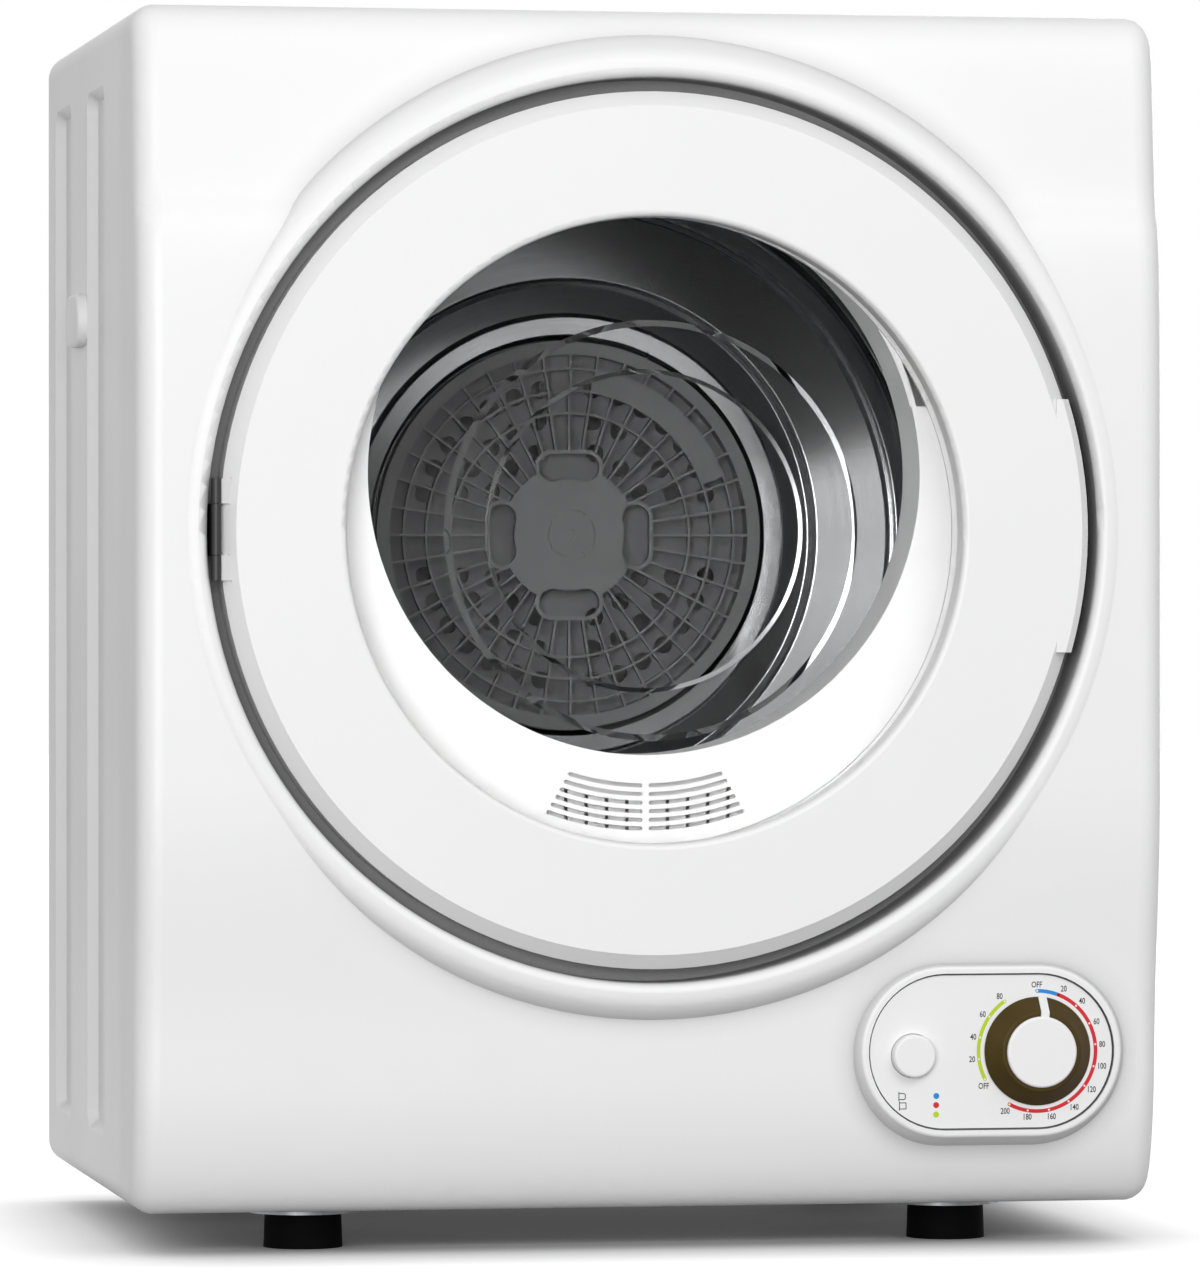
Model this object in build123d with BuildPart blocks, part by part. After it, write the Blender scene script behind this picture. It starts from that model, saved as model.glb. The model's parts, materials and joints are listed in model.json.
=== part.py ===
"""Compact vented clothes dryer: cabinet, door, drum, drive, fan, heater and controls.

Millimetres. +Z is up, -Y is the front, and the origin is on the floor under the middle of the machine.
Depths are measured rearward from the plane of the front panel's corners.
"""
import os
from math import cos, pi, radians, sin, tan

from build123d import *

os.makedirs("parts", exist_ok=True)

# Overall sizes
cabinet_width = 495
cabinet_height = 591
cabinet_depth = 365
foot_height = 20
axis_height = 343
knob_reach = 22
collar_reach = 18
running_fit = 0.05
press_gap = 0.02
clearance = 0.3

# Cabinet sheet metal
sheet = 0.8
wrap_corner = 12
wrap_front = 55
bottom_return = 30
rear_return = 14
channel_width = 72
channel_middles = (154, 295.5)
channel_bottom = 50
channel_top = 560
channel_dent = 5
channel_slope = 40
channel_corner = 9
plug_middle_depth = 218
plug_middle_height = 449
plug_length = 56
plug_width = 26
plug_proud = 5
plug_round = 2

# Base pan and feet
pan_gap = 0.5
pan_front = 58
pan_lip = 14
foot_across = 158
foot_front = 65
foot_rear = 300
foot_radius = 19
foot_taper = 2
boss_radius = 27.5
boss_drop = 3
foot_screw_radius = 4
foot_recess_radius = 9
foot_recess_depth = 6

# Back panel, exhaust and cord inlet
dish_radius = 150
dish_rise = 5
dish_slope = 55
exhaust_across = 115
exhaust_height = 118
collar_radius = 50
collar_wall = 2.5
collar_flange_radius = 62
collar_flange = 3
vent_slot_length = 56
vent_slot_width = 5
vent_rows = 8
vent_pitch = 14
vent_across = -128
vent_height = 150
gland_across = -205
gland_height = 62
gland_radius = 9
gland_bore = 4
gland_flange = 13
gland_flange_thick = 3
gland_inner_reach = 8
back_screw_radius = 5
back_screw_head = 2.4
back_screw_inset = 6
back_screw_heights = (60, 240, 400, 560)

# Front panel
panel_wall = 3
crown = 16
crown_flat = 200
shoulder_near = 28
shoulder_far = 86
shoulder_drop = 10.1
edge_start = 22
well_radius = 214.5
well_floor = 13
well_floor_thick = 3
well_opening = 160
lip_radius = 219
lip_proud = 17
flare_end_radius = 236.5
flare_end_depth = 14
flare_knee_radius = 230
flare_knee_depth = -10

# Control pod
pod_across = 163
pod_height = 94.4
pod_width = 118.5
pod_tall = 73
pod_rim = 4
pod_rim_depth = -12.6
pod_round = 1.8
pod_root_depth = 2
pod_slope = 22
plate_face = -11
plate_thick = 2
plate_gap = 0.9
pod_floor_thick = 3
pod_shell = 1.3
dial_across = 185.5
button_across = 124.5
button_height = 92.8

# Timer knob and heat button
knob_radius = 26
knob_gap = 0.6
knob_taper = 38
knob_round = 1.2
shaft_hole_gap = 1
knob_top = -20.5
cap_radius = 17
cap_seat = -18
cap_round = 1.2
pointer_width = 4
pointer_rise = 0.9
pointer_root = 1
pointer_turn = 5
timer_shaft_radius = 3
timer_shaft_front = -17
timer_shaft_rear = 12
timer_side = 50
timer_depth = 35
button_radius = 10.3
button_front = -17
button_flange_radius = 12
button_flange = 1.5
button_travel = 5
button_round = 1.5
button_bottom_gap = 1
switch_side = 30
switch_depth = 24

# Door
door_radius = 208
door_inner = 148.5
door_front = -16
door_rear = 8
door_wall = 3
door_chamfer = 7
door_edge_round = 3
grip_proud = 2
grip_thick = 3.5
grip_length = 121
grip_height = 345.5
window_thick = 3
window_front = -2
window_radius = 157.5
cup_mouth = 97
cup_bottom = 75
cup_depth = 21
cup_round = 3
frame_thick = 3
frame_lip_inner = 152
frame_lip_outer = 160
door_boss_circle = 172
door_boss_radius = 5
door_screw_count = 6
door_screw_radius = 3.5
door_screw_head = 2
seal_inner = 186
seal_outer = 193

# Hinge, catch and door switch
hinge_across = -210.2
hinge_depth = -14
knuckle_radius = 2.4
pin_radius = 1.3
hinge_fixed_half = 12
hinge_leaf_half = 24
hinge_play = 0.3
hinge_plate = 1.5
hinge_foot_end = -197
leaf_end = -180
leaf_plate_width = 10
tab_slot_width = 17
tab_slot_shift = 5.5
strike_near = 196.5
strike_thick = 4
strike_half = 10
strike_base_near = 194.5
strike_base_far = 203
strike_base = 2
strike_reach = 24
strike_chamfer = 1.5
catch_play = 3
catch_wall = 2
catch_depth = 18
plunger_across = 192
plunger_rise = 52
plunger_radius = 2.5
plunger_rear = 26
plunger_round = 1
door_switch_side = 18
door_switch_depth = 16

# Front bulkhead, grille and heater
throat_radius = 134
throat_rise = 27
throat_wall = 3
mouth_radius = 150
bulkhead_front = 16
bulkhead_wall = 3
chamber_radius = 176
bulkhead_rear = 53
collar_ring_outer = 207
collar_ring_front = 40
collar_ring_rear = 60
felt_thick = 2.2
felt_front = 43
felt_width = 12
grille_top = 60
grille_first_row = 121.5
grille_pitch = 4.1
grille_rows = 6
slot_width = 2
slot_half_first = 38.5
slot_half_last = 49.5
grille_rib = 3
inlet_half = 46
inlet_margin = 3
inlet_cut = 24
duct_half = 56
duct_bottom = 62
duct_front = 20
duct_rear = 38
duct_wall = 1.5
duct_gap = 0.5
element_half = 50
element_bottom = 85
element_height = 50
element_fins = 20
fin_thick = 1.2
fin_bar = 4
thermostat_radius = 9
thermostat_thick = 6
thermostat_step = 2
thermostat_height = 100

# Drum
drum_radius = 215
drum_sheet = 1
drum_front = 46
drum_rear = 238
drum_lip = 209.5
swage_rise = 1.5
swage_half = 9
swage_width = 4
belt_depth = 108
rear_plate_sheet = 1.2
rear_plate_inner = 92
rear_plate_seat = 236
ring_crest_inner = 101
ring_crest_outer = 110
ring_crest = 226
band_outer = 126
band_floor = 234
line_radius = 128
line_crest = 230
cone_inner = 130
cone_outer = 162
cone_rear = 231
cone_front = 216
groove_floor = 222
groove_outer = 166
strip_outer = 175
strip_front = 214.5
second_groove_outer = 178
plate_face_depth = 216
plate_corner = 206
step_run = 1
lifter_count = 3
lifter_foot = 52
lifter_top = 18
lifter_rise = 34
lifter_front = 64
lifter_length = 140
lifter_round = 6
spider_arms = 3
spider_arm_width = 26
spider_reach = 125
spider_pad = 113
spider_hub = 22
spider_thick = 3
drum_shaft_radius = 8
drum_shaft_flange = 20
drum_shaft_end = 266

# Lint filter
filter_front = 222
filter_grid = 4
filter_radius = 98
filter_rim = 6.5
filter_hub = 34.5
filter_rings = (61.5, 73, 84.5)
filter_rib = 1.2
filter_spokes = 40
finger_middle = 34
finger_length = 31
finger_width = 14
finger_wall = 2
finger_slots = 4
finger_core = 28
patch_start = 20.5
patch_sweep = 60
hub_groove_radius = 12
hub_groove_width = 2.5
hub_groove_depth = 0.8
hub_groove_sweep = 66
hub_dimple = 3
backplate_thick = 2.5
backplate_radius = 97
backplate_arm = 13
hole_radius = 4.5
hole_rings = ((44, 18), (59, 26), (75, 34))

# Rear bulkhead, fan and housing
rear_wall_front = 243
rear_wall_sheet = 1.5
rear_wall_bottom = 120
window_overlap = 2
window_inner = 30
window_outer = 100
window_spoke = 18
bearing_outer = 14
bearing_holder = 22
bearing_rear = 262
rear_felt_outer = 222
rear_felt_front = 228
housing_radius = 150
housing_wall = 2
housing_rear = 300
outlet_left = 65
outlet_right = 165
outlet_bottom = 62
fan_radius = 125
fan_eye = 95
fan_front = 256
fan_back = 284
fan_plate = 2
fan_blades = 18
fan_blade_thick = 1.6
fan_blade_turn = 35
fan_hub_radius = 16
fan_hub_front = 270
fan_shaft_radius = 6
fan_bearing_outer = 12
fan_bearing_front = 290
fan_bearing_rear = 306
fan_boss_radius = 18
fan_pulley_radius = 45

# Motor and belts
motor_across = -150
motor_height = 85
motor_radius = 45
motor_front = 135
motor_rear = 235
motor_bell = 12
motor_bell_radius = 38
motor_ribs = 18
rib_groove = 1.5
motor_shaft_radius = 5
motor_shaft_front = 95
motor_shaft_rear = 322
cradle_half = 52
cradle_front = 150
cradle_rear = 217
cradle_sheet = 3
cradle_base = 2
cradle_top = 70
drum_pulley_radius = 13
fan_drive_radius = 22
pulley_width = 16
fan_pulley_width = 10
fan_belt_depth = 313
groove_depth = 3
groove_flank = 0.75
pulley_edge = 1
belt_thick = 2.5
belt_width = 8
fan_belt_width = 6
capacitor_across = 20
capacitor_front = 150
capacitor_length = 70
capacitor_radius = 20
capacitor_lift = 3
capacitor_round = 2
cap_cradle_width = 30
cap_cradle_side = 4

# Places worked out from the sizes above
front_y = knob_reach - (knob_reach + cabinet_depth + collar_reach) / 2
body_height = cabinet_height - foot_height
body_middle = (cabinet_height + foot_height) / 2
half_width = cabinet_width / 2
wrap_rear = cabinet_depth - sheet
pan_top = foot_height + 2 * sheet
boss_bottom = foot_height - boss_drop
well_rear = well_floor + well_floor_thick
pod_floor = plate_face + plate_thick
pod_floor_rear = pod_floor + pod_floor_thick
throat_height = axis_height + throat_rise
drum_outer = drum_radius + drum_sheet
swage_radius = drum_outer + swage_rise
rear_wall_rear = rear_wall_front + rear_wall_sheet
collar_ring_inner = collar_ring_outer - bulkhead_wall
window_rear = window_front + window_thick
frame_front = door_rear - frame_thick

turning = Plane(origin=(0, front_y, axis_height), x_dir=(0, 1, 0), z_dir=(1, 0, 0))
drum_axis = Axis((0, front_y, axis_height), (0, 1, 0))
side_section = Plane(origin=(0, front_y, 0), x_dir=(0, 1, 0), z_dir=(1, 0, 0))


def facing(depth, height=0, across=0):
    """Plane at a depth, square to the drum axis, with local axes X and Z."""
    return Plane(origin=(across, front_y + depth, height), x_dir=(1, 0, 0), z_dir=(0, -1, 0))


def level(height):
    """Horizontal plane at a height, with local axes X and depth."""
    return Plane(origin=(0, front_y, height), x_dir=(1, 0, 0), z_dir=(0, 0, 1))


def flank(side):
    """Plane of an outer side face, looking inward; side is -1 for left and 1 for right."""
    return Plane(origin=(side * half_width, front_y, 0), x_dir=(0, -side, 0), z_dir=(-side, 0, 0))


def spindle(across, height):
    """Plane for turned pieces on a spindle parallel to the drum: local axes depth and radius."""
    return Plane(origin=(across, front_y, height), x_dir=(0, 1, 0), z_dir=(1, 0, 0))


def spindle_axis(across, height):
    """Axis of such a spindle."""
    return Axis((across, front_y, height), (0, 1, 0))


def save(builder, name):
    """Label a finished piece and write it."""
    builder.part.label = name
    export_step(builder.part, f"parts/{name}.step")


# Cabinet wrap: one bent sheet with pressed channels and a return round its back and floor
with BuildPart() as cabinet_wrap:
    with BuildSketch(facing(wrap_front, body_middle)):
        RectangleRounded(cabinet_width, body_height, wrap_corner)
        RectangleRounded(
            cabinet_width - 2 * sheet, body_height - 2 * sheet, wrap_corner - sheet, mode=Mode.SUBTRACT
        )
    extrude(amount=wrap_front - wrap_rear)
    with BuildSketch(facing(wrap_rear - sheet, body_middle)):
        RectangleRounded(cabinet_width, body_height, wrap_corner)
        Rectangle(cabinet_width - 2 * rear_return, body_height - 2 * rear_return, mode=Mode.SUBTRACT)
    extrude(amount=-sheet)
    with BuildSketch(facing(wrap_front, foot_height)):
        Rectangle(cabinet_width - 2 * bottom_return, 2 * sheet + pan_gap)
    extrude(amount=wrap_front - wrap_rear, mode=Mode.SUBTRACT)
    channel_length = channel_top - channel_bottom
    channel_height = (channel_top + channel_bottom) / 2
    for side in (-1, 1):
        channel_places = [(-side * middle, channel_height) for middle in channel_middles]
        with BuildSketch(flank(side)):
            with Locations(*channel_places):
                RectangleRounded(channel_width + 2 * sheet, channel_length + 2 * sheet, channel_corner)
        extrude(amount=channel_dent + sheet, taper=channel_slope)
        with BuildSketch(flank(side)):
            with Locations(*channel_places):
                RectangleRounded(channel_width, channel_length, channel_corner)
        extrude(amount=channel_dent, taper=channel_slope, mode=Mode.SUBTRACT)
save(cabinet_wrap, "cabinet_wrap")

# Side plugs: a capsule cap on each side between the channels
with BuildPart() as side_plugs:
    for side in (-1, 1):
        with BuildSketch(flank(side)):
            with Locations((-side * plug_middle_depth, plug_middle_height)):
                SlotOverall(plug_length, plug_width)
        extrude(amount=-plug_proud)
    fillet(side_plugs.faces().sort_by(Axis.X)[0].edges(), plug_round)
    fillet(side_plugs.faces().sort_by(Axis.X)[-1].edges(), plug_round)
save(side_plugs, "side_plugs")

# Base pan: rests on the wrap's bottom returns, with a pressed boss over each foot
foot_places = [(side * foot_across, depth) for side in (-1, 1) for depth in (foot_front, foot_rear)]
pan_width = cabinet_width - 2 * (sheet + pan_gap)
pan_rear = wrap_rear - sheet - pan_gap
with BuildPart() as base_pan:
    with BuildSketch(facing(pan_front, foot_height + sheet)):
        with BuildLine():
            Polyline(
                (-pan_width / 2 + wrap_corner, 0),
                (pan_width / 2 - wrap_corner, 0),
                (pan_width / 2 - wrap_corner, pan_lip),
                (pan_width / 2 - wrap_corner - sheet, pan_lip),
                (pan_width / 2 - wrap_corner - sheet, sheet),
                (-pan_width / 2 + wrap_corner + sheet, sheet),
                (-pan_width / 2 + wrap_corner + sheet, pan_lip),
                (-pan_width / 2 + wrap_corner, pan_lip),
                close=True,
            )
        make_face()
    extrude(amount=pan_front - pan_rear)
    with BuildSketch(level(boss_bottom)):
        with Locations(*foot_places):
            Circle(boss_radius)
    extrude(amount=pan_top - boss_bottom)
    with BuildSketch(level(boss_bottom + sheet)):
        with Locations(*foot_places):
            Circle(boss_radius - sheet)
    extrude(amount=pan_top - boss_bottom, mode=Mode.SUBTRACT)
save(base_pan, "base_pan")

# Rubber feet under the bosses
with BuildPart() as rubber_feet:
    with BuildSketch(level(0)):
        with Locations(*foot_places):
            Circle(foot_radius)
    extrude(amount=boss_bottom, taper=foot_taper)
    with BuildSketch(level(0)):
        with Locations(*foot_places):
            Circle(foot_recess_radius)
    extrude(amount=foot_recess_depth, mode=Mode.SUBTRACT)
    with BuildSketch(level(0)):
        with Locations(*foot_places):
            Circle(foot_screw_radius / 2 + press_gap)
    extrude(amount=boss_bottom, mode=Mode.SUBTRACT)
save(rubber_feet, "rubber_feet")

# Foot screws: pan heads in the recesses, shanks up to the bosses
with BuildPart() as foot_screws:
    with BuildSketch(level(foot_recess_depth - foot_screw_radius / 2)):
        with Locations(*foot_places):
            Circle(foot_screw_radius)
    extrude(amount=foot_screw_radius / 2)
    with BuildSketch(level(foot_recess_depth)):
        with Locations(*foot_places):
            Circle(foot_screw_radius / 2)
    extrude(amount=boss_bottom - foot_recess_depth)
save(foot_screws, "foot_screws")

# Back panel: flat plate with a pressed dish, motor vents, exhaust hole and cord inlet
with BuildPart() as back_panel:
    with BuildSketch(facing(wrap_rear, body_middle)):
        RectangleRounded(cabinet_width - 2 * pan_gap, body_height - 2 * pan_gap, wrap_corner)
    extrude(amount=-sheet)
    with BuildSketch(facing(wrap_rear, axis_height).rotated((180, 0, 0))):
        Circle(dish_radius + sheet)
    extrude(amount=dish_rise + sheet, taper=dish_slope)
    with BuildSketch(facing(wrap_rear, axis_height).rotated((180, 0, 0))):
        Circle(dish_radius)
    extrude(amount=dish_rise, taper=dish_slope, mode=Mode.SUBTRACT)
    with BuildSketch(facing(wrap_rear)):
        with Locations((exhaust_across, exhaust_height)):
            Circle(collar_radius + clearance)
        with Locations((gland_across, gland_height)):
            Circle(gland_radius + press_gap)
        with Locations((vent_across, vent_height)):
            with GridLocations(vent_slot_length + vent_pitch, vent_pitch, 2, vent_rows):
                SlotOverall(vent_slot_length, vent_slot_width)
    extrude(amount=-sheet, mode=Mode.SUBTRACT)
save(back_panel, "back_panel")

# Back panel screws round the edge
screw_across = half_width - back_screw_inset - pan_gap
screw_places = [(side * screw_across, height) for side in (-1, 1) for height in back_screw_heights]
with BuildPart() as back_screws:
    with BuildSketch(facing(cabinet_depth)):
        with Locations(*screw_places):
            Circle(back_screw_radius)
    extrude(amount=-back_screw_head)
save(back_screws, "back_screws")

# Cord gland: a flanged bush in the back panel
with BuildPart() as cord_gland:
    with BuildSketch(facing(cabinet_depth, gland_height, gland_across)):
        Circle(gland_flange)
    extrude(amount=-gland_flange_thick)
    with BuildSketch(facing(wrap_rear - gland_inner_reach, gland_height, gland_across)):
        Circle(gland_radius)
    extrude(amount=-(gland_inner_reach + sheet))
    with BuildSketch(facing(wrap_rear - gland_inner_reach, gland_height, gland_across)):
        Circle(gland_bore)
    extrude(amount=-(gland_inner_reach + sheet + gland_flange_thick), mode=Mode.SUBTRACT)
save(cord_gland, "cord_gland")

# Exhaust collar: a flanged duct spigot through the back panel
with BuildPart() as exhaust_collar:
    with BuildSketch(facing(housing_rear, exhaust_height, exhaust_across)):
        Circle(collar_radius)
    extrude(amount=housing_rear - cabinet_depth - collar_reach)
    with BuildSketch(facing(cabinet_depth, exhaust_height, exhaust_across)):
        Circle(collar_flange_radius)
    extrude(amount=-collar_flange)
    with BuildSketch(facing(housing_rear, exhaust_height, exhaust_across)):
        Circle(collar_radius - collar_wall)
    extrude(amount=housing_rear - cabinet_depth - collar_reach, mode=Mode.SUBTRACT)
save(exhaust_collar, "exhaust_collar")

pod_root_grow = pod_rim + (pod_root_depth - pod_rim_depth) * tan(radians(pod_slope))

# Front panel section: a crowned face with soft top and bottom edges
flat_top = cabinet_height - crown_flat
flat_bottom = foot_height + crown_flat
shoulder = shoulder_drop - crown
upper_shoulder = cabinet_height - shoulder_far
lower_shoulder = foot_height + shoulder_far


def panel_section(inset):
    """Panel section in depth and height, set in from its outer face and run past its rear edge."""
    slant = inset * cos(pi / 4)
    top = cabinet_height - inset
    bottom = foot_height + inset
    upper_knee = (slant, cabinet_height - shoulder_near - slant)
    lower_knee = (slant, foot_height + shoulder_near + slant)
    face = inset - crown
    with BuildSketch() as section:
        with BuildLine():
            Spline(
                (edge_start, top),
                upper_knee,
                (shoulder + inset, upper_shoulder),
                (face, flat_top),
                tangents=((-1, 0), (0, -1)),
            )
            Line((face, flat_top), (face, flat_bottom))
            Spline(
                (face, flat_bottom),
                (shoulder + inset, lower_shoulder),
                lower_knee,
                (edge_start, bottom),
                tangents=((0, -1), (1, 0)),
            )
            Polyline(
                (edge_start, bottom),
                (wrap_front + inset, bottom),
                (wrap_front + inset, top),
                (edge_start, top),
            )
        make_face()
    return section.sketch


def flare_section(inset):
    """Dome round the door in depth and radius, whose rim rolls out from the lip to the cabinet's sides."""
    slant = inset * cos(pi / 4)
    with BuildSketch() as section:
        with BuildLine():
            Polyline(
                (inset - lip_proud, lip_radius),
                (inset - lip_proud, 0),
                (flare_end_depth, 0),
                (flare_end_depth, flare_end_radius - inset),
            )
            Spline(
                (flare_end_depth, flare_end_radius - inset),
                (flare_knee_depth + slant, flare_knee_radius - slant),
                (inset - lip_proud, lip_radius),
                tangents=((-1, 0), (0, -1)),
            )
        make_face()
    return section.sketch


# Hollow inside the front panel, a wall's thickness in from its faces
with BuildPart() as panel_cavity:
    with BuildSketch(side_section):
        add(panel_section(panel_wall))
    extrude(amount=half_width - panel_wall, both=True)
    cavity_edges = panel_cavity.edges().filter_by(lambda edge: edge.center().Y < front_y + wrap_front)
    cavity_sides = cavity_edges.filter_by(lambda edge: abs(edge.center().X) > half_width - 2 * panel_wall)
    fillet(cavity_sides, wrap_corner - panel_wall)
    with BuildSketch(turning):
        add(flare_section(panel_wall))
    revolve(axis=drum_axis)

# Control pod body: a tapered capsule with a rounded rim
with BuildPart() as control_pod:
    with BuildSketch(facing(pod_root_depth, pod_height, pod_across)):
        SlotOverall(pod_width + 2 * pod_root_grow, pod_tall + 2 * pod_root_grow)
    extrude(amount=pod_root_depth - pod_rim_depth, taper=pod_slope)
    fillet(control_pod.faces().sort_by(Axis.Y)[0].edges(), pod_round)

# Front panel: crowned moulding with the door well, its rolled lip and the control pod
lip_round = lip_radius - well_radius
lip_middle = lip_round * (1 - cos(pi / 4))
with BuildPart() as front_panel:
    with BuildSketch(side_section):
        add(panel_section(0))
    extrude(amount=half_width, both=True)
    panel_edges = front_panel.edges().filter_by(lambda edge: edge.center().Y < front_y + wrap_front - 1)
    fillet(panel_edges.filter_by(lambda edge: abs(edge.center().X) > half_width - 1), wrap_corner)
    with BuildSketch(turning):
        add(flare_section(0))
    revolve(axis=drum_axis)
    add(panel_cavity.part, mode=Mode.SUBTRACT)
    with BuildSketch(facing(panel_wall - lip_proud, axis_height)):
        Circle(well_radius + panel_wall)
    extrude(amount=panel_wall - lip_proud - well_rear)
    with BuildSketch(turning):
        with BuildLine():
            Polyline(
                (-lip_proud, lip_radius),
                (-2 * lip_proud, lip_radius),
                (-2 * lip_proud, 0),
                (well_floor, 0),
                (well_floor, well_radius),
                (lip_round - lip_proud, well_radius),
            )
            ThreePointArc(
                (lip_round - lip_proud, well_radius),
                (lip_middle - lip_proud, well_radius + lip_middle),
                (-lip_proud, lip_radius),
            )
        make_face()
    revolve(axis=drum_axis, mode=Mode.SUBTRACT)
    with BuildSketch(facing(well_floor, axis_height)):
        Circle(well_opening)
    extrude(amount=-well_floor_thick, mode=Mode.SUBTRACT)
    add(control_pod.part)
    with BuildSketch(facing(pod_rim_depth, pod_height, pod_across)):
        SlotOverall(pod_width + 2 * plate_gap, pod_tall + 2 * plate_gap)
    extrude(amount=pod_rim_depth - pod_floor, mode=Mode.SUBTRACT)
    with BuildSketch(facing(pod_floor_rear, pod_height, pod_across)):
        SlotOverall(pod_width + 2 * pod_shell, pod_tall + 2 * pod_shell)
    extrude(amount=pod_floor_rear - wrap_front, mode=Mode.SUBTRACT)
    with BuildSketch(facing(pod_floor)):
        with Locations((dial_across, pod_height)):
            Circle(timer_shaft_radius + shaft_hole_gap)
        with Locations((button_across, button_height)):
            Circle(button_radius + clearance)
    extrude(amount=-pod_floor_thick, mode=Mode.SUBTRACT)
    with BuildSketch(facing(well_floor, axis_height)):
        with Locations(((strike_near + strike_thick / 2), 0)):
            Rectangle(strike_thick + 2 * catch_play, 2 * strike_half + 2 * catch_play)
        with Locations((plunger_across, plunger_rise)):
            Circle(plunger_radius + clearance)
    extrude(amount=-well_floor_thick, mode=Mode.SUBTRACT)
    with BuildSketch(level(foot_height)):
        with Locations((foot_across, foot_front), (-foot_across, foot_front)):
            Circle(boss_radius + clearance)
    extrude(amount=panel_wall + clearance, mode=Mode.SUBTRACT)
save(front_panel, "front_panel")

# Control face plate in the pod
with BuildPart() as control_plate:
    with BuildSketch(facing(plate_face, pod_height, pod_across)):
        SlotOverall(pod_width, pod_tall)
    extrude(amount=-plate_thick)
    with BuildSketch(facing(plate_face)):
        with Locations((dial_across, pod_height)):
            Circle(timer_shaft_radius + shaft_hole_gap)
        with Locations((button_across, button_height)):
            Circle(button_radius + clearance)
    extrude(amount=-plate_thick, mode=Mode.SUBTRACT)
save(control_plate, "control_plate")

# Timer body behind the pod floor
with BuildPart() as timer_body:
    with BuildSketch(facing(pod_floor_rear, pod_height, dial_across)):
        RectangleRounded(timer_side, timer_side, timer_side / 8)
        Circle(timer_shaft_radius + running_fit, mode=Mode.SUBTRACT)
    extrude(amount=-timer_depth)
save(timer_body, "timer_body")

# Timer shaft
with BuildPart() as timer_shaft:
    with BuildSketch(facing(timer_shaft_front, pod_height, dial_across)):
        Circle(timer_shaft_radius)
    extrude(amount=timer_shaft_front - timer_shaft_rear)
save(timer_shaft, "timer_shaft")

# Knob skirt: a dark cone round the cap
knob_rear = plate_face - knob_gap
skirt_top = knob_radius - (knob_rear - knob_top) * tan(radians(knob_taper))
with BuildPart() as knob_ring:
    with BuildSketch(facing(knob_rear, pod_height, dial_across)):
        Circle(knob_radius)
    extrude(amount=knob_rear - knob_top, taper=knob_taper)
    with BuildSketch(facing(knob_top, pod_height, dial_across)):
        Circle(cap_radius + press_gap)
    extrude(amount=knob_top - cap_seat, mode=Mode.SUBTRACT)
    with BuildSketch(facing(knob_rear, pod_height, dial_across)):
        Circle(timer_shaft_radius + press_gap)
    extrude(amount=knob_rear - timer_shaft_front, mode=Mode.SUBTRACT)
    knob_front_edges = knob_ring.edges().filter_by(GeomType.CIRCLE).group_by(Axis.Y)[0]
    fillet(knob_front_edges.sort_by(SortBy.RADIUS)[-1], knob_round)
save(knob_ring, "knob_ring")

# Knob cap with a pointer finger that lies down the skirt to its edge
with BuildPart() as knob_cap:
    with BuildSketch(facing(cap_seat, pod_height, dial_across)):
        Circle(cap_radius)
    extrude(amount=cap_seat + knob_reach)
    fillet(knob_cap.faces().sort_by(Axis.Y)[0].edges(), cap_round)
    with BuildSketch(spindle(dial_across, pod_height).rotated((0, pointer_turn, 0))):
        with BuildLine():
            Polyline(
                (knob_top - press_gap, cap_radius - pointer_root),
                (knob_top - press_gap, skirt_top),
                (knob_rear - press_gap, knob_radius),
                (knob_rear - pointer_rise, knob_radius),
                (knob_top - pointer_rise, skirt_top),
                (knob_top - pointer_rise, cap_radius - pointer_root),
                close=True,
            )
        make_face()
    extrude(amount=pointer_width / 2, both=True)
save(knob_cap, "knob_cap")

# Heat switch: a cup that guides the button
with BuildPart() as heat_switch:
    with BuildSketch(facing(pod_floor_rear, button_height, button_across)):
        RectangleRounded(switch_side, switch_side, switch_side / 8)
    extrude(amount=-switch_depth)
    with BuildSketch(facing(pod_floor_rear, button_height, button_across)):
        Circle(button_flange_radius + clearance)
    extrude(amount=-(button_travel + button_flange + button_bottom_gap), mode=Mode.SUBTRACT)
save(heat_switch, "heat_switch")

# Heat button with its retaining flange
with BuildPart() as heat_button:
    with BuildSketch(facing(button_front, button_height, button_across)):
        Circle(button_radius)
    extrude(amount=button_front - pod_floor_rear - clearance)
    fillet(heat_button.faces().sort_by(Axis.Y)[0].edges(), button_round)
    with BuildSketch(facing(pod_floor_rear + clearance, button_height, button_across)):
        Circle(button_flange_radius)
    extrude(amount=-button_flange)
save(heat_button, "heat_button")

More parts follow.
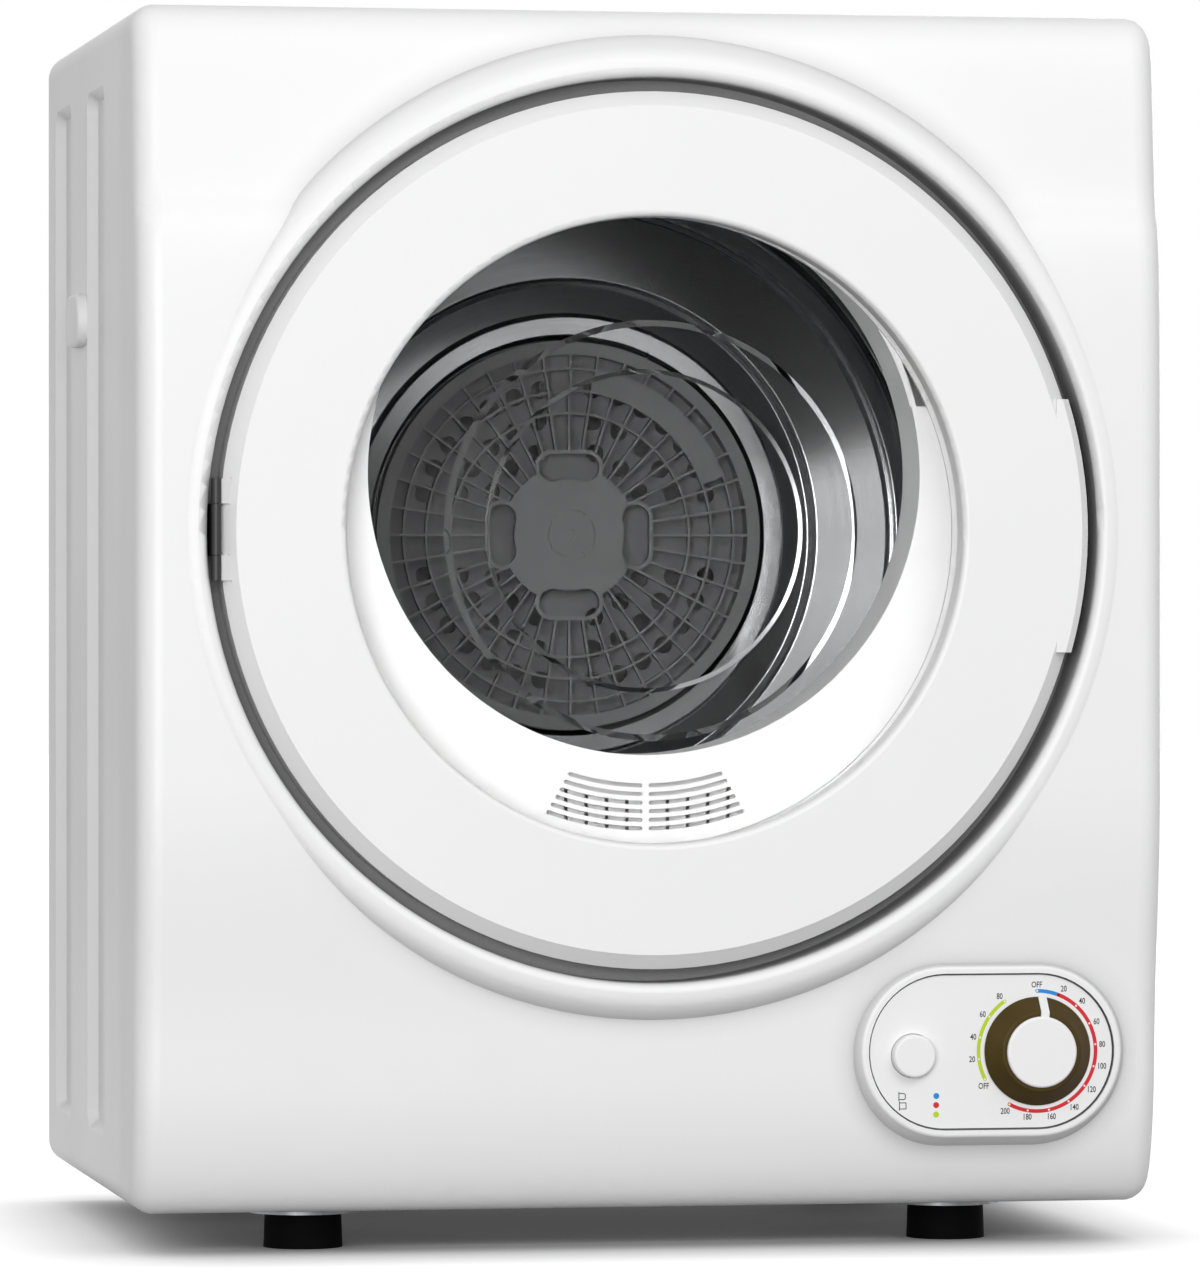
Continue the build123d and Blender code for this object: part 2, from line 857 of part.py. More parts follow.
# Door ring: a hollow moulding with a chamfered edge and a finger grip
chamfer_root = door_wall * tan(pi / 8)
leaf_middle = (hinge_fixed_half + hinge_leaf_half) / 2
leaf_height = hinge_leaf_half - hinge_fixed_half - hinge_play
tab_middle = hinge_across + tab_slot_shift
edge_middle = door_edge_round * (1 - cos(pi / 4))
with BuildPart() as door_ring:
    with BuildSketch(turning):
        with BuildLine():
            Polyline(
                (door_front, door_inner + door_edge_round),
                (door_front, door_radius - door_chamfer),
                (door_front + door_chamfer, door_radius),
                (door_rear, door_radius),
                (door_rear, door_radius - door_wall),
                (door_front + door_chamfer + chamfer_root, door_radius - door_wall),
                (door_front + door_wall, door_radius - door_chamfer - chamfer_root),
                (door_front + door_wall, door_inner + door_wall),
                (window_front, door_inner + door_wall),
                (window_front, door_inner),
                (door_front + door_edge_round, door_inner),
            )
            ThreePointArc(
                (door_front + door_edge_round, door_inner),
                (door_front + edge_middle, door_inner + edge_middle),
                (door_front, door_inner + door_edge_round),
            )
        make_face()
    revolve(axis=drum_axis)
    with BuildSketch(facing(door_front, axis_height)):
        Circle(door_radius + grip_proud)
        Circle(door_radius - door_chamfer - door_wall, mode=Mode.SUBTRACT)
        with Locations((door_radius, grip_height - axis_height)):
            Rectangle(4 * door_chamfer, grip_length, mode=Mode.INTERSECT)
    extrude(amount=-grip_thick)
    with BuildSketch(facing(door_front + door_wall, axis_height)):
        with PolarLocations(door_boss_circle, door_screw_count, start_angle=30):
            Circle(door_boss_radius)
    extrude(amount=door_front + door_wall - frame_front)
    with BuildSketch(facing(door_front + door_wall, axis_height)):
        with Locations((tab_middle, leaf_middle), (tab_middle, -leaf_middle)):
            Rectangle(tab_slot_width, leaf_height + 4 * hinge_play)
    extrude(amount=-(hinge_plate + hinge_play), mode=Mode.SUBTRACT)
save(door_ring, "door_ring")

# Door window: a clear disc with a cup that keeps the clothes off the door
with BuildPart() as door_window:
    with BuildSketch(turning) as window_section:
        with BuildLine():
            Polyline(
                (window_front, window_radius),
                (window_front, cup_mouth),
                (cup_depth - window_thick, cup_bottom),
                (cup_depth - window_thick, 0),
                (cup_depth, 0),
                (cup_depth, cup_bottom + window_thick),
                (window_rear, cup_mouth + window_thick),
                (window_rear, window_radius),
                close=True,
            )
        make_face()
        bends = [
            vertex
            for vertex in window_section.vertices()
            if cup_bottom - 1 < vertex.Z - axis_height < cup_mouth + window_thick + 1
        ]
        fillet(bends, cup_round)
    revolve(axis=drum_axis)
save(door_window, "door_window")

# Door inner frame: clamps the window and closes the ring
with BuildPart() as door_inner_frame:
    with BuildSketch(turning):
        with BuildLine():
            Polyline(
                (window_rear, frame_lip_inner),
                (window_rear, frame_lip_outer),
                (frame_front, frame_lip_outer),
                (frame_front, door_radius - door_wall - clearance),
                (door_rear, door_radius - door_wall - clearance),
                (door_rear, frame_lip_inner),
                close=True,
            )
        make_face()
    revolve(axis=drum_axis)
save(door_inner_frame, "door_inner_frame")

# Door screws in the frame's bosses
with BuildPart() as door_screws:
    with BuildSketch(facing(door_rear, axis_height)):
        with PolarLocations(door_boss_circle, door_screw_count, start_angle=30):
            Circle(door_screw_radius)
    extrude(amount=-door_screw_head)
save(door_screws, "door_screws")

# Door seal on the frame, just off the well floor
with BuildPart() as door_seal:
    with BuildSketch(facing(door_rear, axis_height)):
        Circle(seal_outer)
        Circle(seal_inner, mode=Mode.SUBTRACT)
    extrude(amount=door_rear - well_floor + clearance)
save(door_seal, "door_seal")


def knuckle(low, high, radius):
    """Upright cylinder round the hinge line between two heights over the drum axis."""
    with BuildSketch(level(axis_height + low)) as outline:
        with Locations((hinge_across, hinge_depth)):
            Circle(radius)
    extrude(outline.sketch, amount=high - low)


# Hinge bracket: foot on the well floor, blade in the gap round the door, knuckle at the door's face
blade_outer = hinge_across - knuckle_radius
blade_inner = blade_outer + hinge_plate
with BuildPart() as hinge_bracket:
    with BuildSketch(level(axis_height - hinge_fixed_half)):
        with BuildLine():
            Polyline(
                (blade_outer, hinge_depth),
                (blade_inner, hinge_depth),
                (blade_inner, well_floor - hinge_plate),
                (hinge_foot_end, well_floor - hinge_plate),
                (hinge_foot_end, well_floor),
                (blade_outer, well_floor),
                close=True,
            )
        make_face()
    extrude(amount=2 * hinge_fixed_half)
    knuckle(-hinge_fixed_half, hinge_fixed_half, knuckle_radius)
    with BuildSketch(level(axis_height - hinge_fixed_half)):
        with Locations((hinge_across, hinge_depth)):
            Circle(pin_radius + running_fit)
    extrude(amount=2 * hinge_fixed_half, mode=Mode.SUBTRACT)
save(hinge_bracket, "hinge_bracket")

# Hinge leaf: two knuckles whose tabs pass through the door ring to a plate behind its face
leaf_front = door_front + door_wall
arm_middle = (hinge_across + leaf_end) / 2
with BuildPart() as hinge_leaf:
    with BuildSketch(facing(leaf_front, axis_height)):
        with Locations((arm_middle, leaf_middle), (arm_middle, -leaf_middle)):
            Rectangle(leaf_end - hinge_across, leaf_height)
        with Locations((leaf_end - leaf_plate_width / 2, 0)):
            Rectangle(leaf_plate_width, 2 * hinge_leaf_half)
    extrude(amount=-hinge_plate)
    knuckle(hinge_fixed_half + hinge_play, hinge_leaf_half, knuckle_radius)
    knuckle(-hinge_leaf_half, -hinge_fixed_half - hinge_play, knuckle_radius)
    with BuildSketch(level(axis_height - hinge_leaf_half)):
        with Locations((hinge_across, hinge_depth)):
            Circle(pin_radius + press_gap)
    extrude(amount=2 * hinge_leaf_half, mode=Mode.SUBTRACT)
save(hinge_leaf, "hinge_leaf")

# Hinge pin
with BuildPart() as hinge_pin:
    knuckle(-hinge_leaf_half, hinge_leaf_half, pin_radius)
save(hinge_pin, "hinge_pin")

# Door strike: a tongue on the inner frame at the opening side
with BuildPart() as door_strike:
    with BuildSketch(level(axis_height - strike_half)):
        with BuildLine():
            Polyline(
                (strike_base_near, door_rear),
                (strike_base_far, door_rear),
                (strike_base_far, door_rear + strike_base),
                (strike_near + strike_thick, door_rear + strike_base),
                (strike_near + strike_thick, strike_reach - strike_chamfer),
                (strike_near + strike_thick - strike_chamfer, strike_reach),
                (strike_near, strike_reach),
                (strike_near, door_rear + strike_base),
                (strike_base_near, door_rear + strike_base),
                close=True,
            )
        make_face()
    extrude(amount=2 * strike_half)
save(door_strike, "door_strike")

# Door catch: a socket behind the well floor
catch_across = strike_near + strike_thick / 2
catch_wide = strike_thick + 2 * catch_play
catch_tall = 2 * strike_half + 2 * catch_play
with BuildPart() as door_catch:
    with BuildSketch(facing(well_rear, axis_height, catch_across)):
        Rectangle(catch_wide + 2 * catch_wall, catch_tall + 2 * catch_wall)
    extrude(amount=-catch_depth)
    with BuildSketch(facing(well_rear, axis_height, catch_across)):
        Rectangle(catch_wide, catch_tall)
    extrude(amount=-(catch_depth - catch_wall), mode=Mode.SUBTRACT)
save(door_catch, "door_catch")

# Door switch and its plunger
with BuildPart() as door_switch:
    with BuildSketch(facing(well_rear, axis_height + plunger_rise, plunger_across)):
        Rectangle(door_switch_side, door_switch_side)
    extrude(amount=-door_switch_depth)
    with BuildSketch(facing(well_rear, axis_height + plunger_rise, plunger_across)):
        Circle(plunger_radius + running_fit)
    extrude(amount=-(door_switch_depth - catch_wall), mode=Mode.SUBTRACT)
save(door_switch, "door_switch")

with BuildPart() as switch_plunger:
    with BuildSketch(facing(door_rear + clearance, axis_height + plunger_rise, plunger_across)):
        Circle(plunger_radius)
    extrude(amount=door_rear + clearance - plunger_rear)
    fillet(switch_plunger.faces().sort_by(Axis.Y)[0].edges(), plunger_round)
save(switch_plunger, "switch_plunger")

# Front bulkhead: air chamber behind the door well, off-centre throat and the drum's front collar
chamber_inner = chamber_radius - bulkhead_wall
flange_rear = bulkhead_front + bulkhead_wall
wall_front = bulkhead_rear - bulkhead_wall
with BuildPart() as front_bulkhead:
    with BuildSketch(turning):
        with BuildLine():
            Polyline(
                (bulkhead_front, mouth_radius),
                (bulkhead_front, chamber_radius),
                (wall_front, chamber_radius),
                (wall_front, collar_ring_inner),
                (collar_ring_front, collar_ring_inner),
                (collar_ring_front, collar_ring_outer),
                (collar_ring_rear, collar_ring_outer),
                (collar_ring_rear, collar_ring_inner),
                (bulkhead_rear, collar_ring_inner),
                (bulkhead_rear, 0),
                (wall_front, 0),
                (wall_front, chamber_inner),
                (flange_rear, chamber_inner),
                (flange_rear, mouth_radius),
                close=True,
            )
        make_face()
    revolve(axis=drum_axis)
    with BuildSketch(facing(flange_rear, throat_height)):
        Circle(throat_radius + throat_wall)
    extrude(amount=flange_rear - bulkhead_rear)
    with BuildSketch(facing(flange_rear, throat_height)):
        Circle(throat_radius)
    extrude(amount=flange_rear - bulkhead_rear, mode=Mode.SUBTRACT)
    with BuildSketch(facing(flange_rear + inlet_margin, axis_height - chamber_radius)):
        Rectangle(2 * inlet_half, inlet_cut)
    extrude(amount=flange_rear + 2 * inlet_margin - wall_front, mode=Mode.SUBTRACT)
save(front_bulkhead, "front_bulkhead")

# Air grille: crescent insert with two columns of curved slots
with BuildPart() as air_grille:
    with BuildSketch(facing(bulkhead_front, axis_height)):
        Circle(mouth_radius - clearance)
        with Locations((0, throat_rise)):
            Circle(throat_radius, mode=Mode.SUBTRACT)
        with Locations((0, grille_top)):
            Rectangle(
                2 * mouth_radius, 2 * mouth_radius, align=(Align.CENTER, Align.MAX), mode=Mode.INTERSECT
            )
    extrude(amount=-bulkhead_wall)
    with BuildSketch(facing(bulkhead_front, axis_height)):
        for row in range(grille_rows):
            row_radius = grille_first_row + row * grille_pitch
            half = slot_half_first + (slot_half_last - slot_half_first) * row / (grille_rows - 1)
            sweep_angle = (half - grille_rib / 2) / row_radius * 180 / pi
            rib_angle = (grille_rib / 2 + slot_width / 2) / row_radius * 180 / pi
            for start in (-90 + rib_angle, -90 - sweep_angle):
                with BuildLine():
                    CenterArc((0, 0), row_radius, start, sweep_angle - rib_angle)
                    offset(amount=slot_width / 2)
                make_face()
    extrude(amount=-bulkhead_wall, mode=Mode.SUBTRACT)
save(air_grille, "air_grille")

# Heater duct under the chamber, with a finned element and a thermostat
duct_top = axis_height - chamber_radius - duct_gap
duct_deep = duct_rear - duct_front
with BuildPart() as heater_duct:
    with BuildSketch(level(duct_bottom)):
        with Locations((0, (duct_front + duct_rear) / 2)):
            Rectangle(2 * duct_half, duct_deep)
            Rectangle(2 * (duct_half - duct_wall), duct_deep - 2 * duct_wall, mode=Mode.SUBTRACT)
    extrude(amount=duct_top - duct_bottom)
save(heater_duct, "heater_duct")

fin_pitch = 2 * element_half / element_fins
with BuildPart() as heater_element:
    with BuildSketch(facing(duct_front + duct_wall, element_bottom + element_height / 2)):
        Rectangle(2 * (duct_half - duct_wall - press_gap), fin_bar)
        with GridLocations(fin_pitch, 0, element_fins, 1):
            Rectangle(fin_thick, element_height)
    extrude(amount=duct_front + 2 * duct_wall - duct_rear)
save(heater_element, "heater_element")

with BuildPart() as thermostat:
    with BuildSketch(facing(duct_rear, thermostat_height)):
        Circle(thermostat_radius)
    extrude(amount=-thermostat_thick / 2)
    with BuildSketch(facing(duct_rear + thermostat_thick / 2, thermostat_height)):
        Circle(thermostat_radius - thermostat_step)
    extrude(amount=-thermostat_thick / 2)
save(thermostat, "thermostat")

# Felt seals at the two ends of the drum
with BuildPart() as front_felt:
    with BuildSketch(facing(felt_front, axis_height)):
        Circle(collar_ring_outer + felt_thick)
        Circle(collar_ring_outer + press_gap, mode=Mode.SUBTRACT)
    extrude(amount=-felt_width)
save(front_felt, "front_felt")

with BuildPart() as rear_felt:
    with BuildSketch(facing(rear_felt_front, axis_height)):
        Circle(rear_felt_outer)
        Circle(drum_outer + clearance, mode=Mode.SUBTRACT)
    extrude(amount=rear_felt_front - rear_wall_front)
save(rear_felt, "rear_felt")

# Drum shell: rolled sheet with an inward front lip and a swage each side of the belt
with BuildPart() as drum_shell:
    with BuildSketch(turning):
        with BuildLine():
            Polyline(
                (drum_front, drum_lip),
                (drum_front, drum_outer),
                (drum_rear, drum_outer),
                (drum_rear, drum_radius),
                (drum_front + drum_sheet, drum_radius),
                (drum_front + drum_sheet, drum_lip),
                close=True,
            )
        make_face()
        for swage in (belt_depth - swage_half, belt_depth + swage_half):
            with Locations((swage, (drum_outer + swage_radius) / 2)):
                Rectangle(swage_width, swage_rise)
    revolve(axis=drum_axis)
save(drum_shell, "drum_shell")

# Drum rear plate: a pressed stainless plate stepped in rings round the lint filter
front_steps = [
    (rear_plate_seat, rear_plate_inner),
    (rear_plate_seat, ring_crest_inner - 2 * step_run),
    (ring_crest, ring_crest_inner),
    (ring_crest, ring_crest_outer),
    (band_floor, ring_crest_outer + 2 * step_run),
    (band_floor, band_outer),
    (line_crest, line_radius),
    (cone_rear, cone_inner),
    (cone_front, cone_outer),
    (groove_floor, cone_outer + step_run),
    (groove_floor, groove_outer),
    (strip_front, groove_outer + step_run),
    (strip_front, strip_outer),
    (groove_floor, strip_outer + step_run),
    (groove_floor, second_groove_outer),
    (plate_face_depth, second_groove_outer + 2 * step_run),
    (plate_face_depth, plate_corner),
]
rim_radius = drum_radius - press_gap
rim_front = plate_face_depth + rim_radius - plate_corner
rear_steps = [(depth + rear_plate_sheet, radius) for depth, radius in reversed(front_steps)]
with BuildPart() as drum_rear_plate:
    with BuildSketch(turning):
        with BuildLine():
            Polyline(
                *front_steps,
                (rim_front, rim_radius),
                (drum_rear, rim_radius),
                (drum_rear, rim_radius - rear_plate_sheet),
                (rim_front + rear_plate_sheet * tan(pi / 8), rim_radius - rear_plate_sheet),
                *rear_steps,
                close=True,
            )
        make_face()
    revolve(axis=drum_axis)
save(drum_rear_plate, "drum_rear_plate")

# Lifters: rounded ribs inside the drum
lifter_seat = drum_radius * cos(lifter_foot / 2 / drum_radius) - press_gap
with BuildPart() as drum_lifters:
    for lifter in range(lifter_count):
        lifter_plane = facing(lifter_front, axis_height).rotated((0, 360 / lifter_count * lifter, 0))
        with BuildSketch(lifter_plane) as lifter_section:
            with BuildLine():
                Polyline(
                    (-lifter_foot / 2, lifter_seat),
                    (-lifter_top / 2, lifter_seat - lifter_rise),
                    (lifter_top / 2, lifter_seat - lifter_rise),
                    (lifter_foot / 2, lifter_seat),
                    close=True,
                )
            make_face()
            fillet(lifter_section.vertices().group_by(Axis.X)[1:-1], lifter_round)
        extrude(amount=-lifter_length)
save(drum_lifters, "drum_lifters")

# Drum spider and shaft
spider_front = band_floor + rear_plate_sheet
with BuildPart() as drum_spider:
    with BuildSketch(facing(drum_rear, axis_height)):
        Circle(spider_hub)
        with PolarLocations(spider_reach / 2, spider_arms, start_angle=90):
            Rectangle(spider_reach, spider_arm_width)
        Circle(spider_reach, mode=Mode.INTERSECT)
    extrude(amount=-spider_thick)
    with BuildSketch(facing(spider_front, axis_height)):
        with PolarLocations(spider_reach / 2, spider_arms, start_angle=90):
            Rectangle(spider_reach, spider_arm_width)
        Circle(spider_reach, mode=Mode.INTERSECT)
        Circle(spider_pad, mode=Mode.SUBTRACT)
    extrude(amount=spider_front - drum_rear)
    with BuildSketch(facing(drum_rear, axis_height)):
        Circle(drum_shaft_radius + press_gap)
    extrude(amount=-spider_thick, mode=Mode.SUBTRACT)
save(drum_spider, "drum_spider")

with BuildPart() as drum_shaft:
    with BuildSketch(facing(rear_plate_seat, axis_height)):
        Circle(drum_shaft_flange)
    extrude(amount=rear_plate_seat - drum_rear)
    with BuildSketch(facing(drum_rear, axis_height)):
        Circle(drum_shaft_radius)
    extrude(amount=drum_rear - drum_shaft_end)
save(drum_shaft, "drum_shaft")

# Filter back plate: a disc with rings of round holes either side of a plain cross
backplate_front = rear_plate_seat - backplate_thick
hole_places = []
for circle_radius, count in hole_rings:
    for step in range(count):
        turn = 2 * pi * (step + 0.5) / count
        place = (circle_radius * cos(turn), circle_radius * sin(turn))
        if min(abs(place[0]), abs(place[1])) > backplate_arm:
            hole_places.append(place)
with BuildPart() as filter_backplate:
    with BuildSketch(facing(backplate_front, axis_height)):
        Circle(backplate_radius)
        with Locations(*hole_places):
            Circle(hole_radius, mode=Mode.SUBTRACT)
    extrude(amount=-backplate_thick)
save(filter_backplate, "filter_backplate")

# Filter cover: rings and spokes round a hub with four finger slots, and a plain patch in two rings
rim_inner = filter_radius - filter_rim
spoke_inner = filter_hub - finger_wall
spoke_outer = rim_inner + filter_rim / 2
patch_inner = filter_rings[1]
patch_outer = filter_rings[2]
with BuildPart() as filter_cover:
    with BuildSketch(facing(filter_front, axis_height)):
        Circle(filter_radius)
        Circle(rim_inner, mode=Mode.SUBTRACT)
        with PolarLocations((spoke_inner + spoke_outer) / 2, filter_spokes):
            Rectangle(spoke_outer - spoke_inner, filter_rib)
        for ring in filter_rings:
            with BuildSketch(mode=Mode.ADD):
                Circle(ring + filter_rib / 2)
                Circle(ring - filter_rib / 2, mode=Mode.SUBTRACT)
        with BuildSketch(mode=Mode.ADD):
            with BuildLine():
                patch_far = CenterArc((0, 0), patch_outer, patch_start, patch_sweep)
                patch_near = CenterArc((0, 0), patch_inner, patch_start, patch_sweep)
                Line(patch_far @ 0, patch_near @ 0)
                Line(patch_far @ 1, patch_near @ 1)
            make_face()
        Circle(filter_hub)
        with PolarLocations(finger_middle, finger_slots):
            SlotOverall(finger_length + 2 * finger_wall, finger_width + 2 * finger_wall, rotation=90)
        with PolarLocations(finger_middle, finger_slots):
            SlotOverall(finger_length, finger_width, rotation=90, mode=Mode.SUBTRACT)
        Circle(finger_core)
    extrude(amount=-filter_grid)
    with BuildSketch(facing(filter_front + filter_grid, axis_height)):
        Circle(filter_radius)
        Circle(rim_inner, mode=Mode.SUBTRACT)
    extrude(amount=filter_front + filter_grid - backplate_front)
    with BuildSketch(facing(filter_front, axis_height)):
        Circle(hub_dimple)
        for quarter in range(finger_slots):
            groove_start = quarter * 360 / finger_slots - hub_groove_sweep / 2
            with BuildLine():
                CenterArc((0, 0), hub_groove_radius, groove_start, hub_groove_sweep)
                offset(amount=hub_groove_width / 2)
            make_face()
    extrude(amount=-hub_groove_depth, mode=Mode.SUBTRACT)
save(filter_cover, "filter_cover")

# Rear bulkhead: the wall behind the drum, with a bearing holder on four spokes
rear_wall_top = cabinet_height - sheet - pan_gap
with BuildPart() as rear_bulkhead:
    with BuildSketch(facing(rear_wall_front)):
        with Locations((0, (rear_wall_bottom + rear_wall_top) / 2)):
            RectangleRounded(pan_width, rear_wall_top - rear_wall_bottom, wrap_corner - sheet)
        with Locations((0, axis_height)):
            Circle(window_outer, mode=Mode.SUBTRACT)
            Rectangle(2 * (window_outer + window_overlap), window_spoke)
            Rectangle(window_spoke, 2 * (window_outer + window_overlap))
            Circle(window_inner)
    extrude(amount=-rear_wall_sheet)
    with BuildSketch(facing(rear_wall_front, axis_height)):
        Circle(bearing_holder)
    extrude(amount=rear_wall_front - bearing_rear)
    with BuildSketch(facing(rear_wall_front, axis_height)):
        Circle(bearing_outer + press_gap)
    extrude(amount=rear_wall_front - bearing_rear, mode=Mode.SUBTRACT)
save(rear_bulkhead, "rear_bulkhead")

with BuildPart() as drum_bearing:
    with BuildSketch(facing(rear_wall_front, axis_height)):
        Circle(bearing_outer)
        Circle(drum_shaft_radius + running_fit, mode=Mode.SUBTRACT)
    extrude(amount=rear_wall_front - bearing_rear)
save(drum_bearing, "drum_bearing")


def housing_outline(inset):
    """Fan scroll: a round chamber with a straight outlet leg down its right side."""
    leg_top = axis_height
    leg_middle = (leg_top + outlet_bottom) / 2
    with Locations((0, axis_height)):
        Circle(housing_radius - inset)
    with Locations(((outlet_left + outlet_right) / 2, leg_middle)):
        Rectangle(outlet_right - outlet_left - 2 * inset, leg_top - outlet_bottom - 2 * inset)


# Fan housing against the rear bulkhead
with BuildPart() as fan_housing:
    with BuildSketch(facing(rear_wall_rear)):
        housing_outline(0)
    extrude(amount=rear_wall_rear - housing_rear)
    with BuildSketch(facing(rear_wall_rear)):
        housing_outline(housing_wall)
    extrude(amount=rear_wall_rear - housing_rear + housing_wall, mode=Mode.SUBTRACT)
    with BuildSketch(facing(fan_bearing_front, axis_height)):
        Circle(fan_boss_radius)
    extrude(amount=fan_bearing_front - housing_rear)
    with BuildSketch(facing(fan_bearing_front)):
        with Locations((0, axis_height)):
            Circle(fan_bearing_outer + press_gap)
        with Locations((exhaust_across, exhaust_height)):
            Circle(collar_radius - collar_wall)
    extrude(amount=fan_bearing_front - housing_rear, mode=Mode.SUBTRACT)
save(fan_housing, "fan_housing")

with BuildPart() as fan_bearing:
    with BuildSketch(facing(fan_bearing_front, axis_height)):
        Circle(fan_bearing_outer)
        Circle(fan_shaft_radius + running_fit, mode=Mode.SUBTRACT)
    extrude(amount=fan_bearing_front - fan_bearing_rear)
save(fan_bearing, "fan_bearing")

# Fan wheel: back plate, hub, blades and a shroud ring round the eye
with BuildPart() as fan_wheel:
    with BuildSketch(facing(fan_back, axis_height)):
        Circle(fan_radius)
    extrude(amount=-fan_plate)
    with BuildSketch(facing(fan_hub_front, axis_height)):
        Circle(fan_hub_radius)
    extrude(amount=fan_hub_front - fan_back)
    with BuildSketch(facing(fan_front, axis_height)):
        Circle(fan_radius)
        Circle(fan_eye, mode=Mode.SUBTRACT)
    extrude(amount=-fan_plate)
    blade_length = (fan_radius - fan_eye) / cos(radians(fan_blade_turn))
    with BuildSketch(facing(fan_front + fan_plate, axis_height)):
        with PolarLocations((fan_radius + fan_eye) / 2, fan_blades):
            Rectangle(blade_length, fan_blade_thick, rotation=fan_blade_turn)
        Circle(fan_radius, mode=Mode.INTERSECT)
    extrude(amount=fan_front + fan_plate - fan_back)
    with BuildSketch(facing(fan_hub_front, axis_height)):
        Circle(fan_shaft_radius + press_gap)
    extrude(amount=fan_hub_front - fan_back - fan_plate, mode=Mode.SUBTRACT)
save(fan_wheel, "fan_wheel")

fan_pulley_rear = fan_belt_depth + fan_pulley_width / 2
with BuildPart() as fan_shaft:
    with BuildSketch(facing(fan_hub_front, axis_height)):
        Circle(fan_shaft_radius)
    extrude(amount=fan_hub_front - fan_pulley_rear - fan_plate)
save(fan_shaft, "fan_shaft")


def pulley(across, height, middle, width, radius, bore):
    """Turned pulley with a shallow vee groove, round a spindle."""
    with BuildSketch(spindle(across, height)) as section:
        with BuildLine():
            Polyline(
                (middle - width / 2, bore),
                (middle - width / 2, radius),
                (middle - width / 2 + pulley_edge, radius),
                (middle - width / 2 + pulley_edge + groove_flank, radius - groove_depth),
                (middle + width / 2 - pulley_edge - groove_flank, radius - groove_depth),
                (middle + width / 2 - pulley_edge, radius),
                (middle + width / 2, radius),
                (middle + width / 2, bore),
                close=True,
            )
        make_face()
    revolve(section.sketch, axis=spindle_axis(across, height))


with BuildPart() as fan_pulley:
    pulley(
        0, axis_height, fan_belt_depth, fan_pulley_width, fan_pulley_radius, fan_shaft_radius + press_gap
    )
save(fan_pulley, "fan_pulley")

with BuildPart() as drum_pulley:
    pulley(
        motor_across,
        motor_height,
        belt_depth,
        pulley_width,
        drum_pulley_radius,
        motor_shaft_radius + press_gap,
    )
save(drum_pulley, "drum_pulley")

with BuildPart() as fan_drive_pulley:
    pulley(
        motor_across,
        motor_height,
        fan_belt_depth,
        fan_pulley_width,
        fan_drive_radius,
        motor_shaft_radius + press_gap,
    )
save(fan_drive_pulley, "fan_drive_pulley")

# Motor: ribbed can with two end bells
with BuildPart() as motor_body:
    with BuildSketch(facing(motor_front, motor_height, motor_across)):
        Circle(motor_bell_radius)
    extrude(amount=motor_front - motor_rear)
    with BuildSketch(facing(motor_front + motor_bell, motor_height, motor_across)):
        Circle(motor_radius)
        with PolarLocations(motor_radius, motor_ribs):
            Circle(rib_groove, mode=Mode.SUBTRACT)
    extrude(amount=motor_front - motor_rear + 2 * motor_bell)
    with BuildSketch(facing(motor_front, motor_height, motor_across)):
        Circle(motor_shaft_radius + running_fit)
    extrude(amount=motor_front - motor_rear, mode=Mode.SUBTRACT)
save(motor_body, "motor_body")

with BuildPart() as motor_shaft:
    with BuildSketch(facing(motor_shaft_front, motor_height, motor_across)):
        Circle(motor_shaft_radius)
    extrude(amount=motor_shaft_front - motor_shaft_rear)
save(motor_shaft, "motor_shaft")

# Motor cradle on the base pan
with BuildPart() as motor_cradle:
    with BuildSketch(facing(cradle_front, pan_top, motor_across)):
        with Locations((0, cradle_base / 2)):
            Rectangle(2 * cradle_half, cradle_base)
    extrude(amount=cradle_front - cradle_rear - cradle_sheet)
    for upright in (cradle_front, cradle_rear):
        with BuildSketch(facing(upright, 0, motor_across)):
            with Locations((0, (pan_top + cradle_top) / 2)):
                Rectangle(2 * cradle_half, cradle_top - pan_top)
            with Locations((0, motor_height)):
                Circle(motor_radius + press_gap, mode=Mode.SUBTRACT)
        extrude(amount=-cradle_sheet)
save(motor_cradle, "motor_cradle")


def belt_outline(big, small, grow):
    """Outline of an open belt round a wheel on the drum axis and a pulley on the motor."""
    with BuildSketch() as outline:
        with Locations((0, axis_height)):
            Circle(big + grow)
        with Locations((motor_across, motor_height)):
            Circle(small + grow)
        make_hull()
    return outline.sketch


# Belts from the motor to the drum and to the fan
drum_groove = drum_pulley_radius - groove_depth
with BuildPart() as drum_belt:
    with BuildSketch(facing(belt_depth - belt_width / 2)):
        add(belt_outline(drum_outer, drum_groove, clearance + belt_thick))
        add(belt_outline(drum_outer, drum_groove, clearance), mode=Mode.SUBTRACT)
    extrude(amount=-belt_width)
save(drum_belt, "drum_belt")

fan_groove = fan_pulley_radius - groove_depth
fan_drive_groove = fan_drive_radius - groove_depth
with BuildPart() as fan_belt:
    with BuildSketch(facing(fan_belt_depth - fan_belt_width / 2)):
        add(belt_outline(fan_groove, fan_drive_groove, clearance + belt_thick))
        add(belt_outline(fan_groove, fan_drive_groove, clearance), mode=Mode.SUBTRACT)
    extrude(amount=-fan_belt_width)
save(fan_belt, "fan_belt")

# Capacitor lying in a cradle on the base pan
capacitor_height = pan_top + capacitor_radius + capacitor_lift
with BuildPart() as capacitor:
    with BuildSketch(facing(capacitor_front, capacitor_height, capacitor_across)):
        Circle(capacitor_radius)
    extrude(amount=-capacitor_length)
    fillet(capacitor.edges(), capacitor_round)
save(capacitor, "capacitor")

